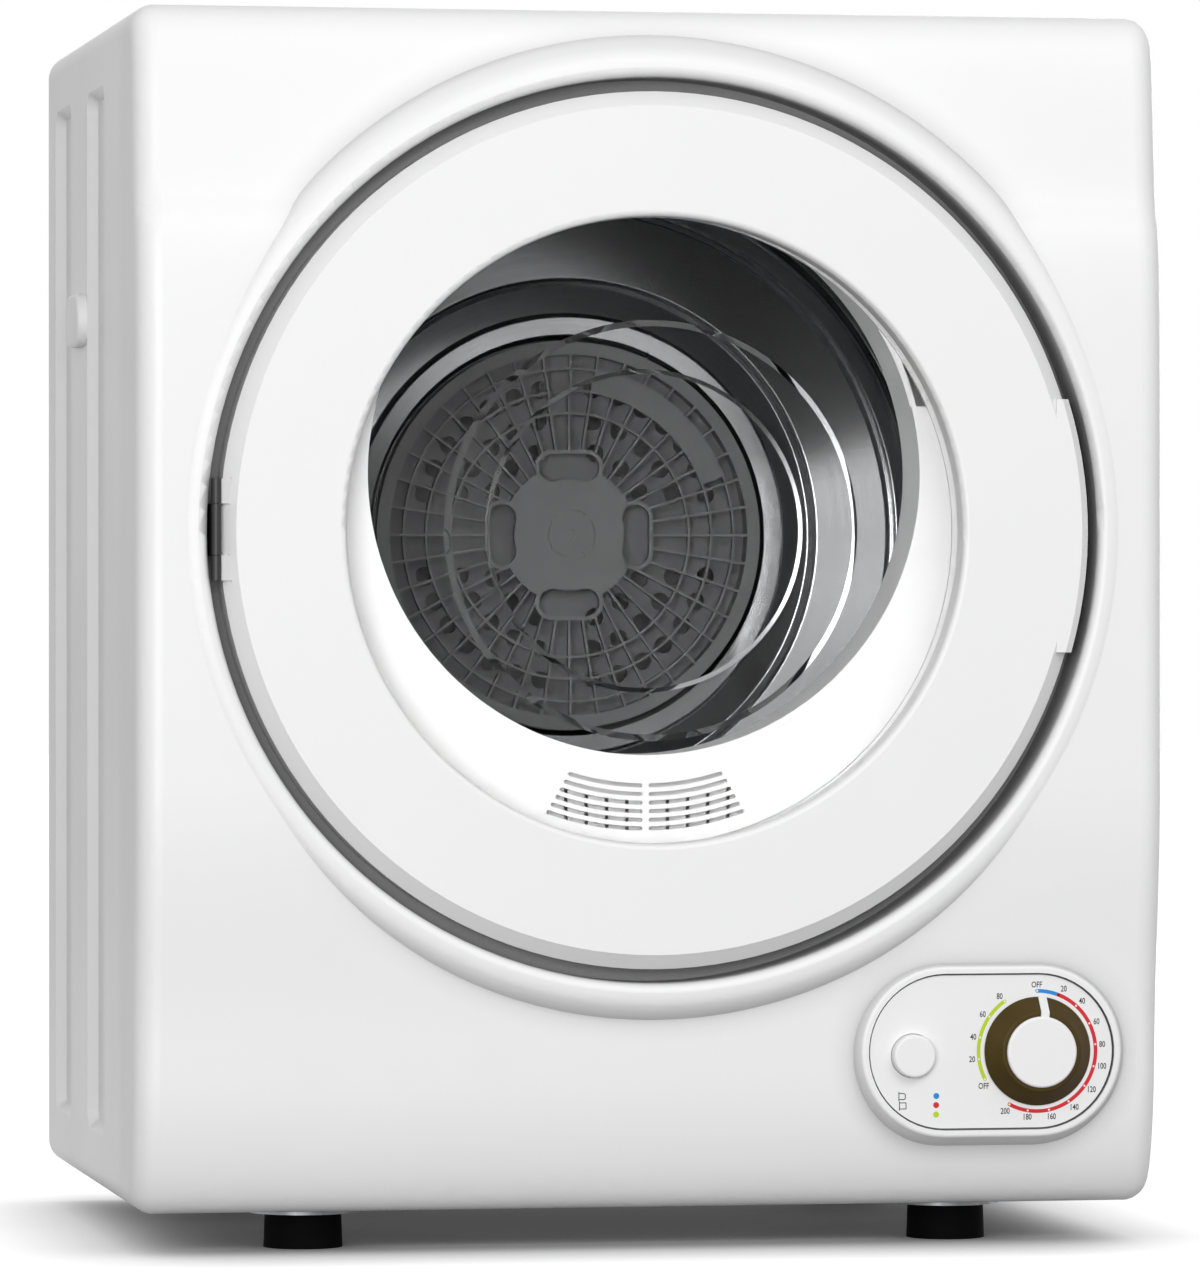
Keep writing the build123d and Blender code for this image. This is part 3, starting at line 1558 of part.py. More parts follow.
cap_cradle_front = capacitor_front + (capacitor_length - cap_cradle_width) / 2
with BuildPart() as capacitor_cradle:
    with BuildSketch(facing(cap_cradle_front, 0, capacitor_across)):
        with Locations((0, pan_top + capacitor_radius / 2)):
            Rectangle(2 * (capacitor_radius + cap_cradle_side), capacitor_radius)
        with Locations((0, capacitor_height)):
            Circle(capacitor_radius + press_gap, mode=Mode.SUBTRACT)
    extrude(amount=-cap_cradle_width)
save(capacitor_cradle, "capacitor_cradle")
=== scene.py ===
"""Looks of a compact front-loading clothes dryer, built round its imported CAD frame.

The frame gives every solid in place, in metres, with +Z up and the door facing -Y.  This script
gives each of them its surface, redraws a few with finer edges, adds the dial print, the screw
heads and the louvres of the air grille, and sets up a plain white studio with the camera of the
photograph.
"""

import json
import logging
import math
from collections.abc import Iterable
from dataclasses import dataclass, replace
from enum import Enum
from typing import ClassVar

import bmesh
import bpy
from mathutils import Matrix, Vector

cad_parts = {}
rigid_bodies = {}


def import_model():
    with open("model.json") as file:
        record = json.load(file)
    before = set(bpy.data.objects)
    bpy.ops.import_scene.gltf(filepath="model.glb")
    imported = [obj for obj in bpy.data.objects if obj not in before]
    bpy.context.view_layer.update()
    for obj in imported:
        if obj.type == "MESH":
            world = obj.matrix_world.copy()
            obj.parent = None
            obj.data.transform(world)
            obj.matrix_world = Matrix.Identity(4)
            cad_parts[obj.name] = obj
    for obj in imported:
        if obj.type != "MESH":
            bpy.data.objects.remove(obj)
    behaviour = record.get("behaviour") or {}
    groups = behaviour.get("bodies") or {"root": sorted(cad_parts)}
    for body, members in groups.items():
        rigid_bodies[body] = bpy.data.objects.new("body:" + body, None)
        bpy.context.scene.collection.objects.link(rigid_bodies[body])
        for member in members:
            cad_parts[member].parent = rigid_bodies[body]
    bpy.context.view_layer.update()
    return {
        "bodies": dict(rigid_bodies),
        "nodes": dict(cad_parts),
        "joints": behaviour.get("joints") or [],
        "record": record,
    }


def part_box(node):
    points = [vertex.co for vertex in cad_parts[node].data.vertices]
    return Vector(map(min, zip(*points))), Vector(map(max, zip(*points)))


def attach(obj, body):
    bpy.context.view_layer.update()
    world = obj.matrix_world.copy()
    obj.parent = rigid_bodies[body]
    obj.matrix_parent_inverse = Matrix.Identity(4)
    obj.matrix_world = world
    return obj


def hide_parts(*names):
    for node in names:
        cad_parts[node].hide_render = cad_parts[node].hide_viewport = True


Tree = bpy.types.NodeTree
Socket = bpy.types.NodeSocket
Piece = bpy.types.Object
Nodes = dict[str, bpy.types.Object]
Node = bpy.types.Node
Mesh = bpy.types.Mesh
BMesh = bmesh.types.BMesh

LOG = logging.getLogger("dryer")
MM = 0.001
DRUM_AXIS = (0.0, 0.0, 0.343)
# The depth that lies on the frame's XZ plane, in mm behind the front panel's middle
FRONT_PLANE = 180.5
# Corners nearer to each other than this, in metres, are one corner
WELD = 1e-6
# The colour sockets of a Mix node, which have the same names as its number sockets
MIX_A, MIX_B, MIX_RESULT = 6, 7, 2
# The rays that feel out how narrow a gap is, for the painted shade in gaps
PAINTED_SHADE_SAMPLES = 8
# Ray depths are whole numbers, so a depth below this one is no bounce at all
NO_BOUNCE = 0.5
# Decimals of a metre that tell the places of two solids apart
PLACE_DECIMALS = 5
# A grid of one face, one unit wide
UNIT_SQUARE = {"x_segments": 1, "y_segments": 1, "size": 0.5}


class Facing(Enum):
    """The way a screw head or a print looks, as a direction in the frame."""

    FRONT = (0.0, -1.0, 0.0)
    REAR = (0.0, 1.0, 0.0)

    def turn(self) -> Matrix:
        """The turn that brings a shape built looking up +Z to look this way."""
        return Vector(self.value).to_track_quat("Z", "Y").to_matrix().to_4x4()


def linear(colour: str) -> tuple[float, float, float, float]:
    """Turns an sRGB hex colour into the linear colour that a shader takes.

    Args:
        colour: The colour as "#rrggbb".

    Returns:
        Red, green, blue and an alpha of 1.
    """
    parts = [int(colour[i : i + 2], 16) / 255 for i in (1, 3, 5)]
    light = [p / 12.92 if p <= 0.04045 else ((p + 0.055) / 1.055) ** 2.4 for p in parts]
    return *light, 1.0


def per_metre(size_mm: float) -> float:
    """The texture scale that gives a pattern marks of this size in millimetres."""
    return 1.0 / (size_mm * MM)


def feed(node: Node, inputs: dict) -> None:
    """Sets the inputs of a node.

    Args:
        node: The node.
        inputs: A value or a socket to link from, for each input by name or number.
    """
    for name, value in inputs.items():
        if isinstance(value, Socket):
            node.id_data.links.new(value, node.inputs[name])
        else:
            node.inputs[name].default_value = value


def add_node(tree: Tree, kind: str, inputs: dict | None = None, **settings) -> Node:
    """Adds one node with its settings, values and links.

    Args:
        tree: The node tree that takes the node.
        kind: Blender's name for the node type.
        inputs: What feeds it.
        **settings: Attributes to set on the node.

    Returns:
        The new node.
    """
    node = tree.nodes.new(kind)
    for name, value in settings.items():
        setattr(node, name, value)
    feed(node, inputs or {})
    return node


def calculate(tree: Tree, operation: str, first: Socket, second: Socket | float) -> Socket:
    """Adds a Math node and gives its result."""
    inputs = {0: first, 1: second}
    return add_node(tree, "ShaderNodeMath", inputs, operation=operation).outputs[0]


def node_material(name: str) -> tuple[bpy.types.Material, Tree, Node]:
    """Makes a material that has one plain shader.

    Args:
        name: The material's name.

    Returns:
        The material, its node tree and its shader.
    """
    made = bpy.data.materials.new(name)
    made.use_nodes = True
    return made, made.node_tree, made.node_tree.nodes["Principled BSDF"]


def set_surface(tree: Tree, node: Node) -> None:
    """Makes a node that mixes or adds shaders the surface of its material."""
    feed(tree.nodes["Material Output"], {"Surface": node.outputs["Shader"]})


@dataclass(frozen=True)
class Finish:
    """A surface of two close colours, with a gloss that drifts and a fine relief.

    The base class is an even moulded surface.  A finish that is made in another way changes where
    its pattern lies, or the pattern itself.  With a gap width set, its colour is darkened in gaps
    of about that width, as painted shade.
    """

    name: str
    colour: str
    shade: str
    roughness: float
    drift: float = 0.04
    mottle_mm: float = 90.0
    grain_mm: float = 1.2
    relief_mm: float = 0.01
    metallic: float = 0.0
    ior: float = 1.5
    painted_shade_gap_mm: float = 0.0

    def place(self, tree: Tree) -> Socket:
        """The coordinates that the pattern follows."""
        return add_node(tree, "ShaderNodeTexCoord").outputs["Object"]

    def mottle(self, tree: Tree, place: Socket) -> Socket:
        """The slow change from shade to colour, from 0 to 1."""
        scale = per_metre(self.mottle_mm)
        inputs = {"Vector": place, "Scale": scale, "Detail": 3.0, "Roughness": 0.55}
        return add_node(tree, "ShaderNodeTexNoise", inputs).outputs["Fac"]

    def grain(self, tree: Tree, place: Socket) -> Socket:
        """The height of the fine relief, from 0 to 1."""
        scale = per_metre(self.grain_mm)
        inputs = {"Vector": place, "Scale": scale, "Detail": 2.0, "Roughness": 0.5}
        return add_node(tree, "ShaderNodeTexNoise", inputs).outputs["Fac"]

    def surface(self, shader: Node) -> None:
        """Sets the shader values that are the same all over."""
        feed(shader, {"Metallic": self.metallic, "IOR": self.ior})

    def material(self) -> bpy.types.Material:
        """Makes the material, or gives the one already made.

        Returns:
            The material, named for this finish.
        """
        made = bpy.data.materials.get(self.name)
        if made:
            return made
        made, tree, shader = node_material(self.name)
        place = self.place(tree)
        mottle = self.mottle(tree, place)
        tint = {"Factor": mottle, MIX_A: linear(self.shade), MIX_B: linear(self.colour)}
        colour = add_node(tree, "ShaderNodeMix", tint, data_type="RGBA").outputs[MIX_RESULT]
        # Painted shade: ambient occlusion darkens the colour in narrow gaps
        if self.painted_shade_gap_mm:
            shut = {"Color": colour, "Distance": self.painted_shade_gap_mm * MM}
            painted_shade = add_node(tree, "ShaderNodeAmbientOcclusion", shut, samples=PAINTED_SHADE_SAMPLES)
            colour = painted_shade.outputs["Color"]
        dull, bright = self.roughness + self.drift, self.roughness - self.drift
        gloss = {"Value": mottle, "To Min": dull, "To Max": bright}
        rough = add_node(tree, "ShaderNodeMapRange", gloss).outputs["Result"]
        height = self.grain(tree, place)
        relief = {"Height": height, "Distance": self.relief_mm * MM, "Strength": 1.0}
        bump = add_node(tree, "ShaderNodeBump", relief).outputs["Normal"]
        feed(shader, {"Base Color": colour, "Roughness": rough, "Normal": bump})
        self.surface(shader)
        return made


@dataclass(frozen=True)
class PowderCoat(Finish):
    """Paint baked on steel, which flows into low round swells."""

    grain_mm: float = 2.0
    relief_mm: float = 0.02

    def grain(self, tree: Tree, place: Socket) -> Socket:
        """The orange peel of the baked paint."""
        inputs = {"Vector": place, "Scale": per_metre(self.grain_mm), "Smoothness": 1.0}
        swells = add_node(tree, "ShaderNodeTexVoronoi", inputs, feature="SMOOTH_F1")
        return swells.outputs["Distance"]


@dataclass(frozen=True)
class RolledSheet(Finish):
    """Sheet metal with fine rolling lines that run round the drum."""

    metallic: float = 1.0
    stretch: float = 40.0

    def place(self, tree: Tree) -> Socket:
        """Coordinates drawn out round the drum axis, so marks become lines."""
        scale = (1.0 / self.stretch, 1.0, 1.0 / self.stretch)
        inputs = {"Vector": super().place(tree), "Scale": scale}
        return add_node(tree, "ShaderNodeMapping", inputs).outputs["Vector"]


@dataclass(frozen=True)
class SpunSheet(Finish):
    """Sheet metal spun on a lathe, with rings about the drum axis."""

    metallic: float = 1.0

    def place(self, tree: Tree) -> Socket:
        """Coordinates that change with the distance from the drum axis only."""
        centre = tuple(-part for part in DRUM_AXIS)
        inputs = {"Vector": super().place(tree), "Location": centre, "Scale": (1.0, 0.0, 1.0)}
        flat = add_node(tree, "ShaderNodeMapping", inputs).outputs["Vector"]
        radius = add_node(tree, "ShaderNodeVectorMath", {0: flat}, operation="LENGTH")
        rings = {"X": radius.outputs["Value"]}
        return add_node(tree, "ShaderNodeCombineXYZ", rings).outputs["Vector"]


@dataclass(frozen=True)
class SpangledZinc(Finish):
    """Hot-dip zinc, which freezes into flat crystals that differ in grey."""

    metallic: float = 1.0

    def mottle(self, tree: Tree, place: Socket) -> Socket:
        """One grey for each crystal."""
        inputs = {"Vector": place, "Scale": per_metre(self.mottle_mm)}
        cells = add_node(tree, "ShaderNodeTexVoronoi", inputs).outputs["Color"]
        return add_node(tree, "ShaderNodeSeparateColor", {"Color": cells}).outputs["Red"]


@dataclass(frozen=True)
class ClearMoulding(Finish):
    """A clear plastic that lamps shine through."""

    def surface(self, shader: Node) -> None:
        """Makes the shader clear, and lets lamp light pass straight on."""
        super().surface(shader)
        feed(shader, {"Transmission Weight": 1.0})
        tree = shader.id_data
        lamp = add_node(tree, "ShaderNodeLightPath").outputs["Is Shadow Ray"]
        through = add_node(tree, "ShaderNodeBsdfTransparent", {"Color": linear(self.colour)})
        both = {0: lamp, 1: shader.outputs["BSDF"], 2: through.outputs["BSDF"]}
        set_surface(tree, add_node(tree, "ShaderNodeMixShader", both))


@dataclass(frozen=True)
class Felt(Finish):
    """Pressed fibre with a soft bloom at its edges."""

    bloom: float = 0.4
    bloom_roughness: float = 0.5

    def surface(self, shader: Node) -> None:
        """Adds the bloom of standing fibres."""
        super().surface(shader)
        feed(shader, {"Sheen Weight": self.bloom, "Sheen Roughness": self.bloom_roughness})


@dataclass(frozen=True)
class PrintedInk(Finish):
    """A pad-printed film of ink with a slightly uneven coat."""

    mottle_mm: float = 2.0
    grain_mm: float = 0.3
    relief_mm: float = 0.004


# Injection-moulded ABS: bright and smooth, with a faint swirl in its soft gloss
GLOSS_ABS = Finish("gloss_abs_white", "#f5f5f5", "#f2f2f2", 0.42, relief_mm=0.004)
# The same plastic on the front panel, with painted shade: its colour darkens in the gaps round the
# door and the plate
PANEL_ABS = replace(GLOSS_ABS, name="gloss_abs_panel_white", painted_shade_gap_mm=14.0)
# Polypropylene from a fine-sparked tool: a soft, wide highlight
SATIN_PP = Finish(
    "satin_polypropylene_white", "#f2f2f2", "#eeeeee", 0.42, grain_mm=0.8, relief_mm=0.012
)
# Powder-coated steel: soft white with a slight orange peel, drawn at 3 mm so that it shows
ENAMEL = PowderCoat(
    "powder_coated_steel_white", "#f0f0f0", "#ececec", 0.36, grain_mm=3.0, relief_mm=0.03
)
# Hot-dip galvanised sheet: grey crystals about 9 mm across
ZINC_SHEET = SpangledZinc("galvanised_sheet", "#b9bdc0", "#9da2a6", 0.42, drift=0.1, mottle_mm=9.0)
# Bright-annealed stainless: a soft mirror with rolling lines round the drum, drawn at 0.8 mm
DRUM_SHEET = RolledSheet(
    "rolled_stainless", "#bcbdbd", "#a2a4a6", 0.15,
    drift=0.03, mottle_mm=2.5, grain_mm=0.8, relief_mm=0.004,
)
# Spun stainless: the same metal with lathe rings
SPUN_SHEET = SpunSheet(
    "spun_stainless", "#bcbdbd", "#a2a4a6", 0.15,
    drift=0.03, mottle_mm=3.0, grain_mm=1.0, relief_mm=0.004,
)
# Clear polycarbonate: water-clear with a trace of haze
CLEAR_PC = ClearMoulding(
    "clear_polycarbonate", "#f2f2f2", "#efefef", 0.03, drift=0.015, relief_mm=0.002, ior=1.2
)
# Filled polypropylene of the lint filter: mid grey, dull, with a fine grain
FILTER_PP = Finish(
    "filled_polypropylene_grey", "#626263", "#595a5b", 0.5,
    mottle_mm=25.0, grain_mm=0.9, relief_mm=0.02,
)
# Nylon behind the filter: darker, so the ribs stand out from it
FILTER_BACK = Finish(
    "moulded_nylon_dark_grey", "#5a5a5c", "#505052", 0.55, mottle_mm=25.0, relief_mm=0.02
)
# Grey polypropylene of the fan and lifters
GREY_PP = Finish(
    "moulded_polypropylene_grey", "#9a9a99", "#8e8e8d", 0.45, mottle_mm=30.0, relief_mm=0.02
)
# Louvres behind the air grille: the same plastic in a light grey, in two close tones
LOUVRE_PP = Finish("moulded_polypropylene_light_grey", "#d6d6d6", "#c2c2c2", 0.5, mottle_mm=9.0)
# Phenolic and nylon switch parts: near black with a low sheen
BLACK_NYLON = Finish(
    "moulded_nylon_black", "#1b1b1c", "#141415", 0.42, mottle_mm=20.0, relief_mm=0.015
)
# Knob skirt: an olive-brown plastic with a silky grain
OLIVE_ABS = Finish(
    "satin_abs_olive", "#4c3c10", "#3e300b", 0.5, drift=0.05, mottle_mm=12.0, grain_mm=0.5, ior=1.3
)
# Moulded rubber of the feet and belts: black, with no gloss
RUBBER = Finish(
    "moulded_rubber_black", "#010101", "#030303", 0.8,
    drift=0.08, mottle_mm=14.0, relief_mm=0.04, ior=1.2,
)
# Door seal rubber: a light grey, dull silicone
SEAL_RUBBER = Finish(
    "moulded_silicone_grey", "#8d8f90", "#828485", 0.55, mottle_mm=30.0, relief_mm=0.03
)
# Wool felt: fibres about 0.6 mm across
GREY_FELT = Felt(
    "pressed_felt_grey", "#77756f", "#605e59", 0.95, mottle_mm=4.0, grain_mm=0.6, relief_mm=0.2
)
# Turned steel: bright, with tool rings too fine to see as more than a grain
TURNED_STEEL = RolledSheet("turned_steel", "#c3c4c6", "#a9abad", 0.3, mottle_mm=3.0, grain_mm=0.6)
# Zinc-plated screws: bright with a faint blue cast
PLATED_STEEL = Finish(
    "zinc_plated_steel", "#c6cace", "#aab0b6", 0.3, drift=0.08, mottle_mm=2.0, metallic=1.0
)
# Heater block: a chalky barium ceramic
CERAMIC = Finish("barium_ceramic", "#b8aa94", "#a5967f", 0.8, mottle_mm=3.0, relief_mm=0.05)
# Die-cast pulleys: a matt, slightly cloudy aluminium
CAST_METAL = Finish(
    "die_cast_aluminium", "#bfc0c1", "#a5a7a9", 0.48, drift=0.08, mottle_mm=5.0, metallic=1.0
)
# Stoved motor paint: a dark grey-blue
MOTOR_PAINT = PowderCoat("stoved_motor_paint", "#4b5055", "#43484c", 0.45, relief_mm=0.03)
# Black dip-coated steel of the hinge and the drum's spider: a thin dull coat over flat sheet,
# whose black is also painted shade: it stands for the shade of the door groove round the hinge's
# knuckles, and darkens the filter's holes in front of the spider
BLACK_COAT_AND_SHADE = PowderCoat("black_coated_steel", "#18181a", "#101011", 0.5, mottle_mm=20.0)
# The hinge tabs that lie on the door ring: the same coat, painted over in the door's white
TAB_COAT = PowderCoat("overpainted_steel_white", "#d6d6d6", "#d0d0d0", 0.45)
# Pad-printed inks of the dial's numbers and marks: flat films
INK_BLACK = PrintedInk("printed_ink_black", "#171717", "#232323", 0.5, mottle_mm=1.5)
INK_WHITE = PrintedInk("printed_ink_white", "#f6f6f4", "#ececea", 0.5, mottle_mm=1.5)


class Programme(Enum):
    """The dial's three runs, each with the ink that its arc and its dot are printed in."""

    COOL = PrintedInk("printed_ink_blue", "#1f8fe0", "#1a83d2", 0.45)
    HOT = PrintedInk("printed_ink_red", "#e0222c", "#d21d27", 0.45)
    AIR = PrintedInk("printed_ink_lime", "#c5dd1c", "#b9d116", 0.45)


def add_object(name: str, data: bpy.types.ID) -> Piece:
    """Puts a mesh, lamp, camera or text in the scene as an object of its own."""
    made = bpy.data.objects.new(name, data)
    bpy.context.scene.collection.objects.link(made)
    return made


def to_mesh(bm: BMesh, name: str) -> Mesh:
    """Makes a bmesh a mesh of this name, and frees it."""
    mesh = bpy.data.meshes.new(name)
    bm.to_mesh(mesh)
    bm.free()
    return mesh


def add_piece(mesh: Mesh, name: str, body: str, *finishes: Finish) -> Piece:
    """Makes a mesh an object of its own that moves with a CAD body.

    Args:
        mesh: The finished mesh, in the frame's place.
        name: The piece's name.
        body: The CAD body that it rides on.
        *finishes: The finishes that it gets, in the order that its faces number them.

    Returns:
        The new object.
    """
    for finish in finishes:
        mesh.materials.append(finish.material())
    piece = add_object(name, mesh)
    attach(piece, body)
    LOG.info("%s: %d faces on %s", name, len(mesh.polygons), body)
    return piece


def make_piece(bm: BMesh, name: str, body: str, *finishes: Finish) -> Piece:
    """Does the same with a bmesh, which is freed."""
    return add_piece(to_mesh(bm, name), name, body, *finishes)


def only_verts(parts: Iterable) -> list[bmesh.types.BMVert]:
    """The corners among the parts of a mesh that an operator gives back."""
    return [part for part in parts if isinstance(part, bmesh.types.BMVert)]


def thicken(bm: BMesh, faces: list[bmesh.types.BMFace], way: tuple[float, float, float]) -> None:
    """Gives flat faces a thickness, by copies of them that move this way, in metres."""
    far = only_verts(bmesh.ops.extrude_face_region(bm, geom=faces)["geom"])
    bmesh.ops.translate(bm, vec=way, verts=far)


def island_boxes(node: Piece) -> list[tuple[Vector, Vector]]:
    """Finds the separate solids in a CAD node.

    Args:
        node: The CAD node's object.

    Returns:
        The lowest and highest corner of each solid.
    """
    bm = bmesh.new()
    bm.from_mesh(node.data)
    bmesh.ops.remove_doubles(bm, verts=bm.verts, dist=WELD)
    left = set(bm.verts)
    boxes = []
    while left:
        ring = [left.pop()]
        found = list(ring)
        while ring:
            near = {edge.other_vert(vert) for vert in ring for edge in vert.link_edges} & left
            left -= near
            ring = list(near)
            found += ring
        axes = list(zip(*(vert.co for vert in found)))
        boxes.append((Vector([min(axis) for axis in axes]), Vector([max(axis) for axis in axes])))
    bm.free()
    return sorted(boxes, key=lambda box: tuple(round(part, PLACE_DECIMALS) for part in box[0]))


@dataclass(frozen=True)
class CrossHeadScrew:
    """A pan-head screw with a cross recess, of the size of the CAD solid that it stands for."""

    facing: Facing
    # Radius and height of the head's section, as shares of the whole, from its top to its base
    outline: tuple[tuple[float, float], ...] = (
        (0.0, 1.0), (0.35, 0.98), (0.66, 0.88), (0.88, 0.66), (0.98, 0.36), (1.0, 0.0), (0.0, 0.0),
    )
    facets: int = 32
    # The recess, as shares of the head: half its width, its reach and depth, and its floor's taper
    slot_share: float = 0.13
    reach_share: float = 0.58
    depth_share: float = 0.6
    floor_share: float = 0.6
    # The least upward slope of a face that the recess cuts
    least_slope: float = 0.2
    # Degrees from one screw's recess to the next one's
    turn_step: float = 37.0

    def head(self, radius: float, height: float) -> BMesh:
        """Builds one head looking up +Z on its base.

        Args:
            radius: The head's radius in metres.
            height: The head's height in metres.

        Returns:
            The head's mesh.
        """
        bm = bmesh.new()
        verts = [bm.verts.new((x * radius, 0.0, z * height)) for x, z in self.outline]
        edges = [bm.edges.new(pair) for pair in zip(verts, verts[1:])]
        around = {"cent": (0, 0, 0), "axis": (0, 0, 1), "angle": math.tau, "steps": self.facets}
        bmesh.ops.spin(bm, geom=verts + edges, use_merge=True, **around)
        bmesh.ops.remove_doubles(bm, verts=bm.verts, dist=WELD)
        bmesh.ops.recalc_face_normals(bm, faces=bm.faces)
        slot, reach = self.slot_share * radius, self.reach_share * radius
        for axis in (Vector((1, 0, 0)), Vector((0, 1, 0))):
            for cut in (-reach, -slot, slot, reach):
                geom = bm.verts[:] + bm.edges[:] + bm.faces[:]
                bmesh.ops.bisect_plane(bm, geom=geom, plane_co=axis * cut, plane_no=axis)
        recess = []
        for face in bm.faces:
            near, far = sorted(abs(part) for part in face.calc_center_median()[:2])
            if face.normal.z > self.least_slope and near < slot and far < reach:
                recess.append(face)
        floor = only_verts(bmesh.ops.extrude_face_region(bm, geom=recess)["geom"])
        bmesh.ops.delete(bm, geom=recess, context="FACES_ONLY")
        bmesh.ops.scale(bm, vec=(self.floor_share, self.floor_share, 1.0), verts=floor)
        bmesh.ops.translate(bm, vec=(0, 0, -self.depth_share * height), verts=floor)
        return bm

    def build(self, node: Piece, name: str, body: str) -> None:
        """Builds a screw at each solid of a CAD node, which it replaces.

        Args:
            node: The CAD node's object.
            name: The new piece's name.
            body: The CAD body that carries the screws.
        """
        bm = bmesh.new()
        way = Vector(self.facing.value)
        for count, (low, high) in enumerate(island_boxes(node)):
            size = high - low
            height = abs(size.dot(way))
            radius = max(abs(part) for part in size.cross(way)) / 2
            foot = Matrix.Translation((low + high) / 2 - way * height / 2)
            spun = Matrix.Rotation(math.radians(self.turn_step * count), 4, "Z")
            spare = to_mesh(self.head(radius, height), name)
            spare.transform(foot @ self.facing.turn() @ spun)
            bm.from_mesh(spare)
            bpy.data.meshes.remove(spare)
        piece = make_piece(bm, name, body, PLATED_STEEL)
        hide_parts(node.name)


@dataclass
class Assembly:
    """A group of CAD nodes that are dressed together, with the pieces that are added to them."""

    finishes: ClassVar[dict[str, Finish]] = {}

    def dress(self, nodes: Nodes) -> None:
        """Gives each CAD node its finish.

        Args:
            nodes: The CAD nodes by name.
        """
        for name, finish in self.finishes.items():
            slots = nodes[name].data.materials
            slots.clear()
            slots.append(finish.material())
            LOG.info("%s: %s", name, finish.name)

    def build(self, nodes: Nodes) -> None:
        """Builds the pieces that this group adds, which is none unless it says so.

        Args:
            nodes: The CAD nodes by name.
        """


@dataclass
class Cabinet(Assembly):
    """The folded wrap, back panel, base pan, feet and exhaust."""

    finishes: ClassVar[dict[str, Finish]] = {
        "cabinet_wrap": ENAMEL,
        "back_panel": ENAMEL,
        "base_pan": ZINC_SHEET,
        "rear_bulkhead": ZINC_SHEET,
        "rear_felt": GREY_FELT,
        "rubber_feet": RUBBER,
        "side_plugs": GLOSS_ABS,
        "exhaust_collar": SATIN_PP,
        "cord_gland": BLACK_NYLON,
        "foot_screws": PLATED_STEEL,
    }

    def build(self, nodes: Nodes) -> None:
        """Puts cross-head screws round the back panel."""
        CrossHeadScrew(Facing.REAR).build(nodes["back_screws"], "back_panel_screws", "cabinet")


@dataclass
class FrontPanel(Assembly):
    """The crowned front moulding, the throat behind it, and what the door shuts against."""

    finishes: ClassVar[dict[str, Finish]] = {
        "front_panel": PANEL_ABS,
        "front_bulkhead": SATIN_PP,
        "air_grille": SATIN_PP,
        "front_felt": GREY_FELT,
        "hinge_bracket": BLACK_COAT_AND_SHADE,
        "door_catch": GREY_PP,
        "door_switch": BLACK_NYLON,
        "switch_plunger": BLACK_NYLON,
    }
    # Louvres behind the air grille and the plain band above them, in mm: places from the middle,
    # depth behind the front panel's middle, and radii about the drum axis
    louvre_first: float = -56.75
    louvre_pitch: float = 9.85
    louvre_gap: float = 1.7
    louvre_count: int = 11
    louvre_depth: float = 20.1
    louvre_thick: float = 1.2
    louvre_radii: tuple[float, float] = (127.8, 144.5)
    band_radii: tuple[float, float] = (119.5, 127.6)
    band_half: float = 46.0
    facet: float = 3.0

    def louvre(self, bm: BMesh, left: float, right: float, radii: tuple[float, float]) -> None:
        """Adds one flat louvre between two arcs about the drum axis.

        Args:
            bm: The mesh that takes the louvre.
            left: Where it starts, in mm from the middle.
            right: Where it ends.
            radii: The radii of its upper and lower edge.
        """
        steps = round((right - left) / self.facet)
        depth = (self.louvre_depth - FRONT_PLANE) * MM
        rows = []
        for step in range(steps + 1):
            across = left + (right - left) * step / steps
            drops = [math.sqrt(radius**2 - across**2) * MM for radius in radii]
            spots = [(across * MM, depth, DRUM_AXIS[2] - drop) for drop in drops]
            rows.append([bm.verts.new(spot) for spot in spots])
        faces = [bm.faces.new((*one, *reversed(two))) for one, two in zip(rows, rows[1:])]
        thicken(bm, faces, (0.0, self.louvre_thick * MM, 0.0))

    def build(self, nodes: Nodes) -> None:
        """Puts the louvres behind the air grille, with the band behind its two upper rows."""
        bm = bmesh.new()
        self.louvre(bm, -self.band_half, self.band_half, self.band_radii)
        for count in range(self.louvre_count):
            left = self.louvre_first + count * self.louvre_pitch
            self.louvre(bm, left, left + self.louvre_pitch - self.louvre_gap, self.louvre_radii)
        bmesh.ops.recalc_face_normals(bm, faces=bm.faces)
        make_piece(bm, "air_grille_louvres", "cabinet", LOUVRE_PP)


@dataclass(frozen=True)
class DialRun:
    """One coloured arc of the dial, from its first mark to its last, clockwise from the top."""

    programme: Programme
    marks: tuple[float, ...]


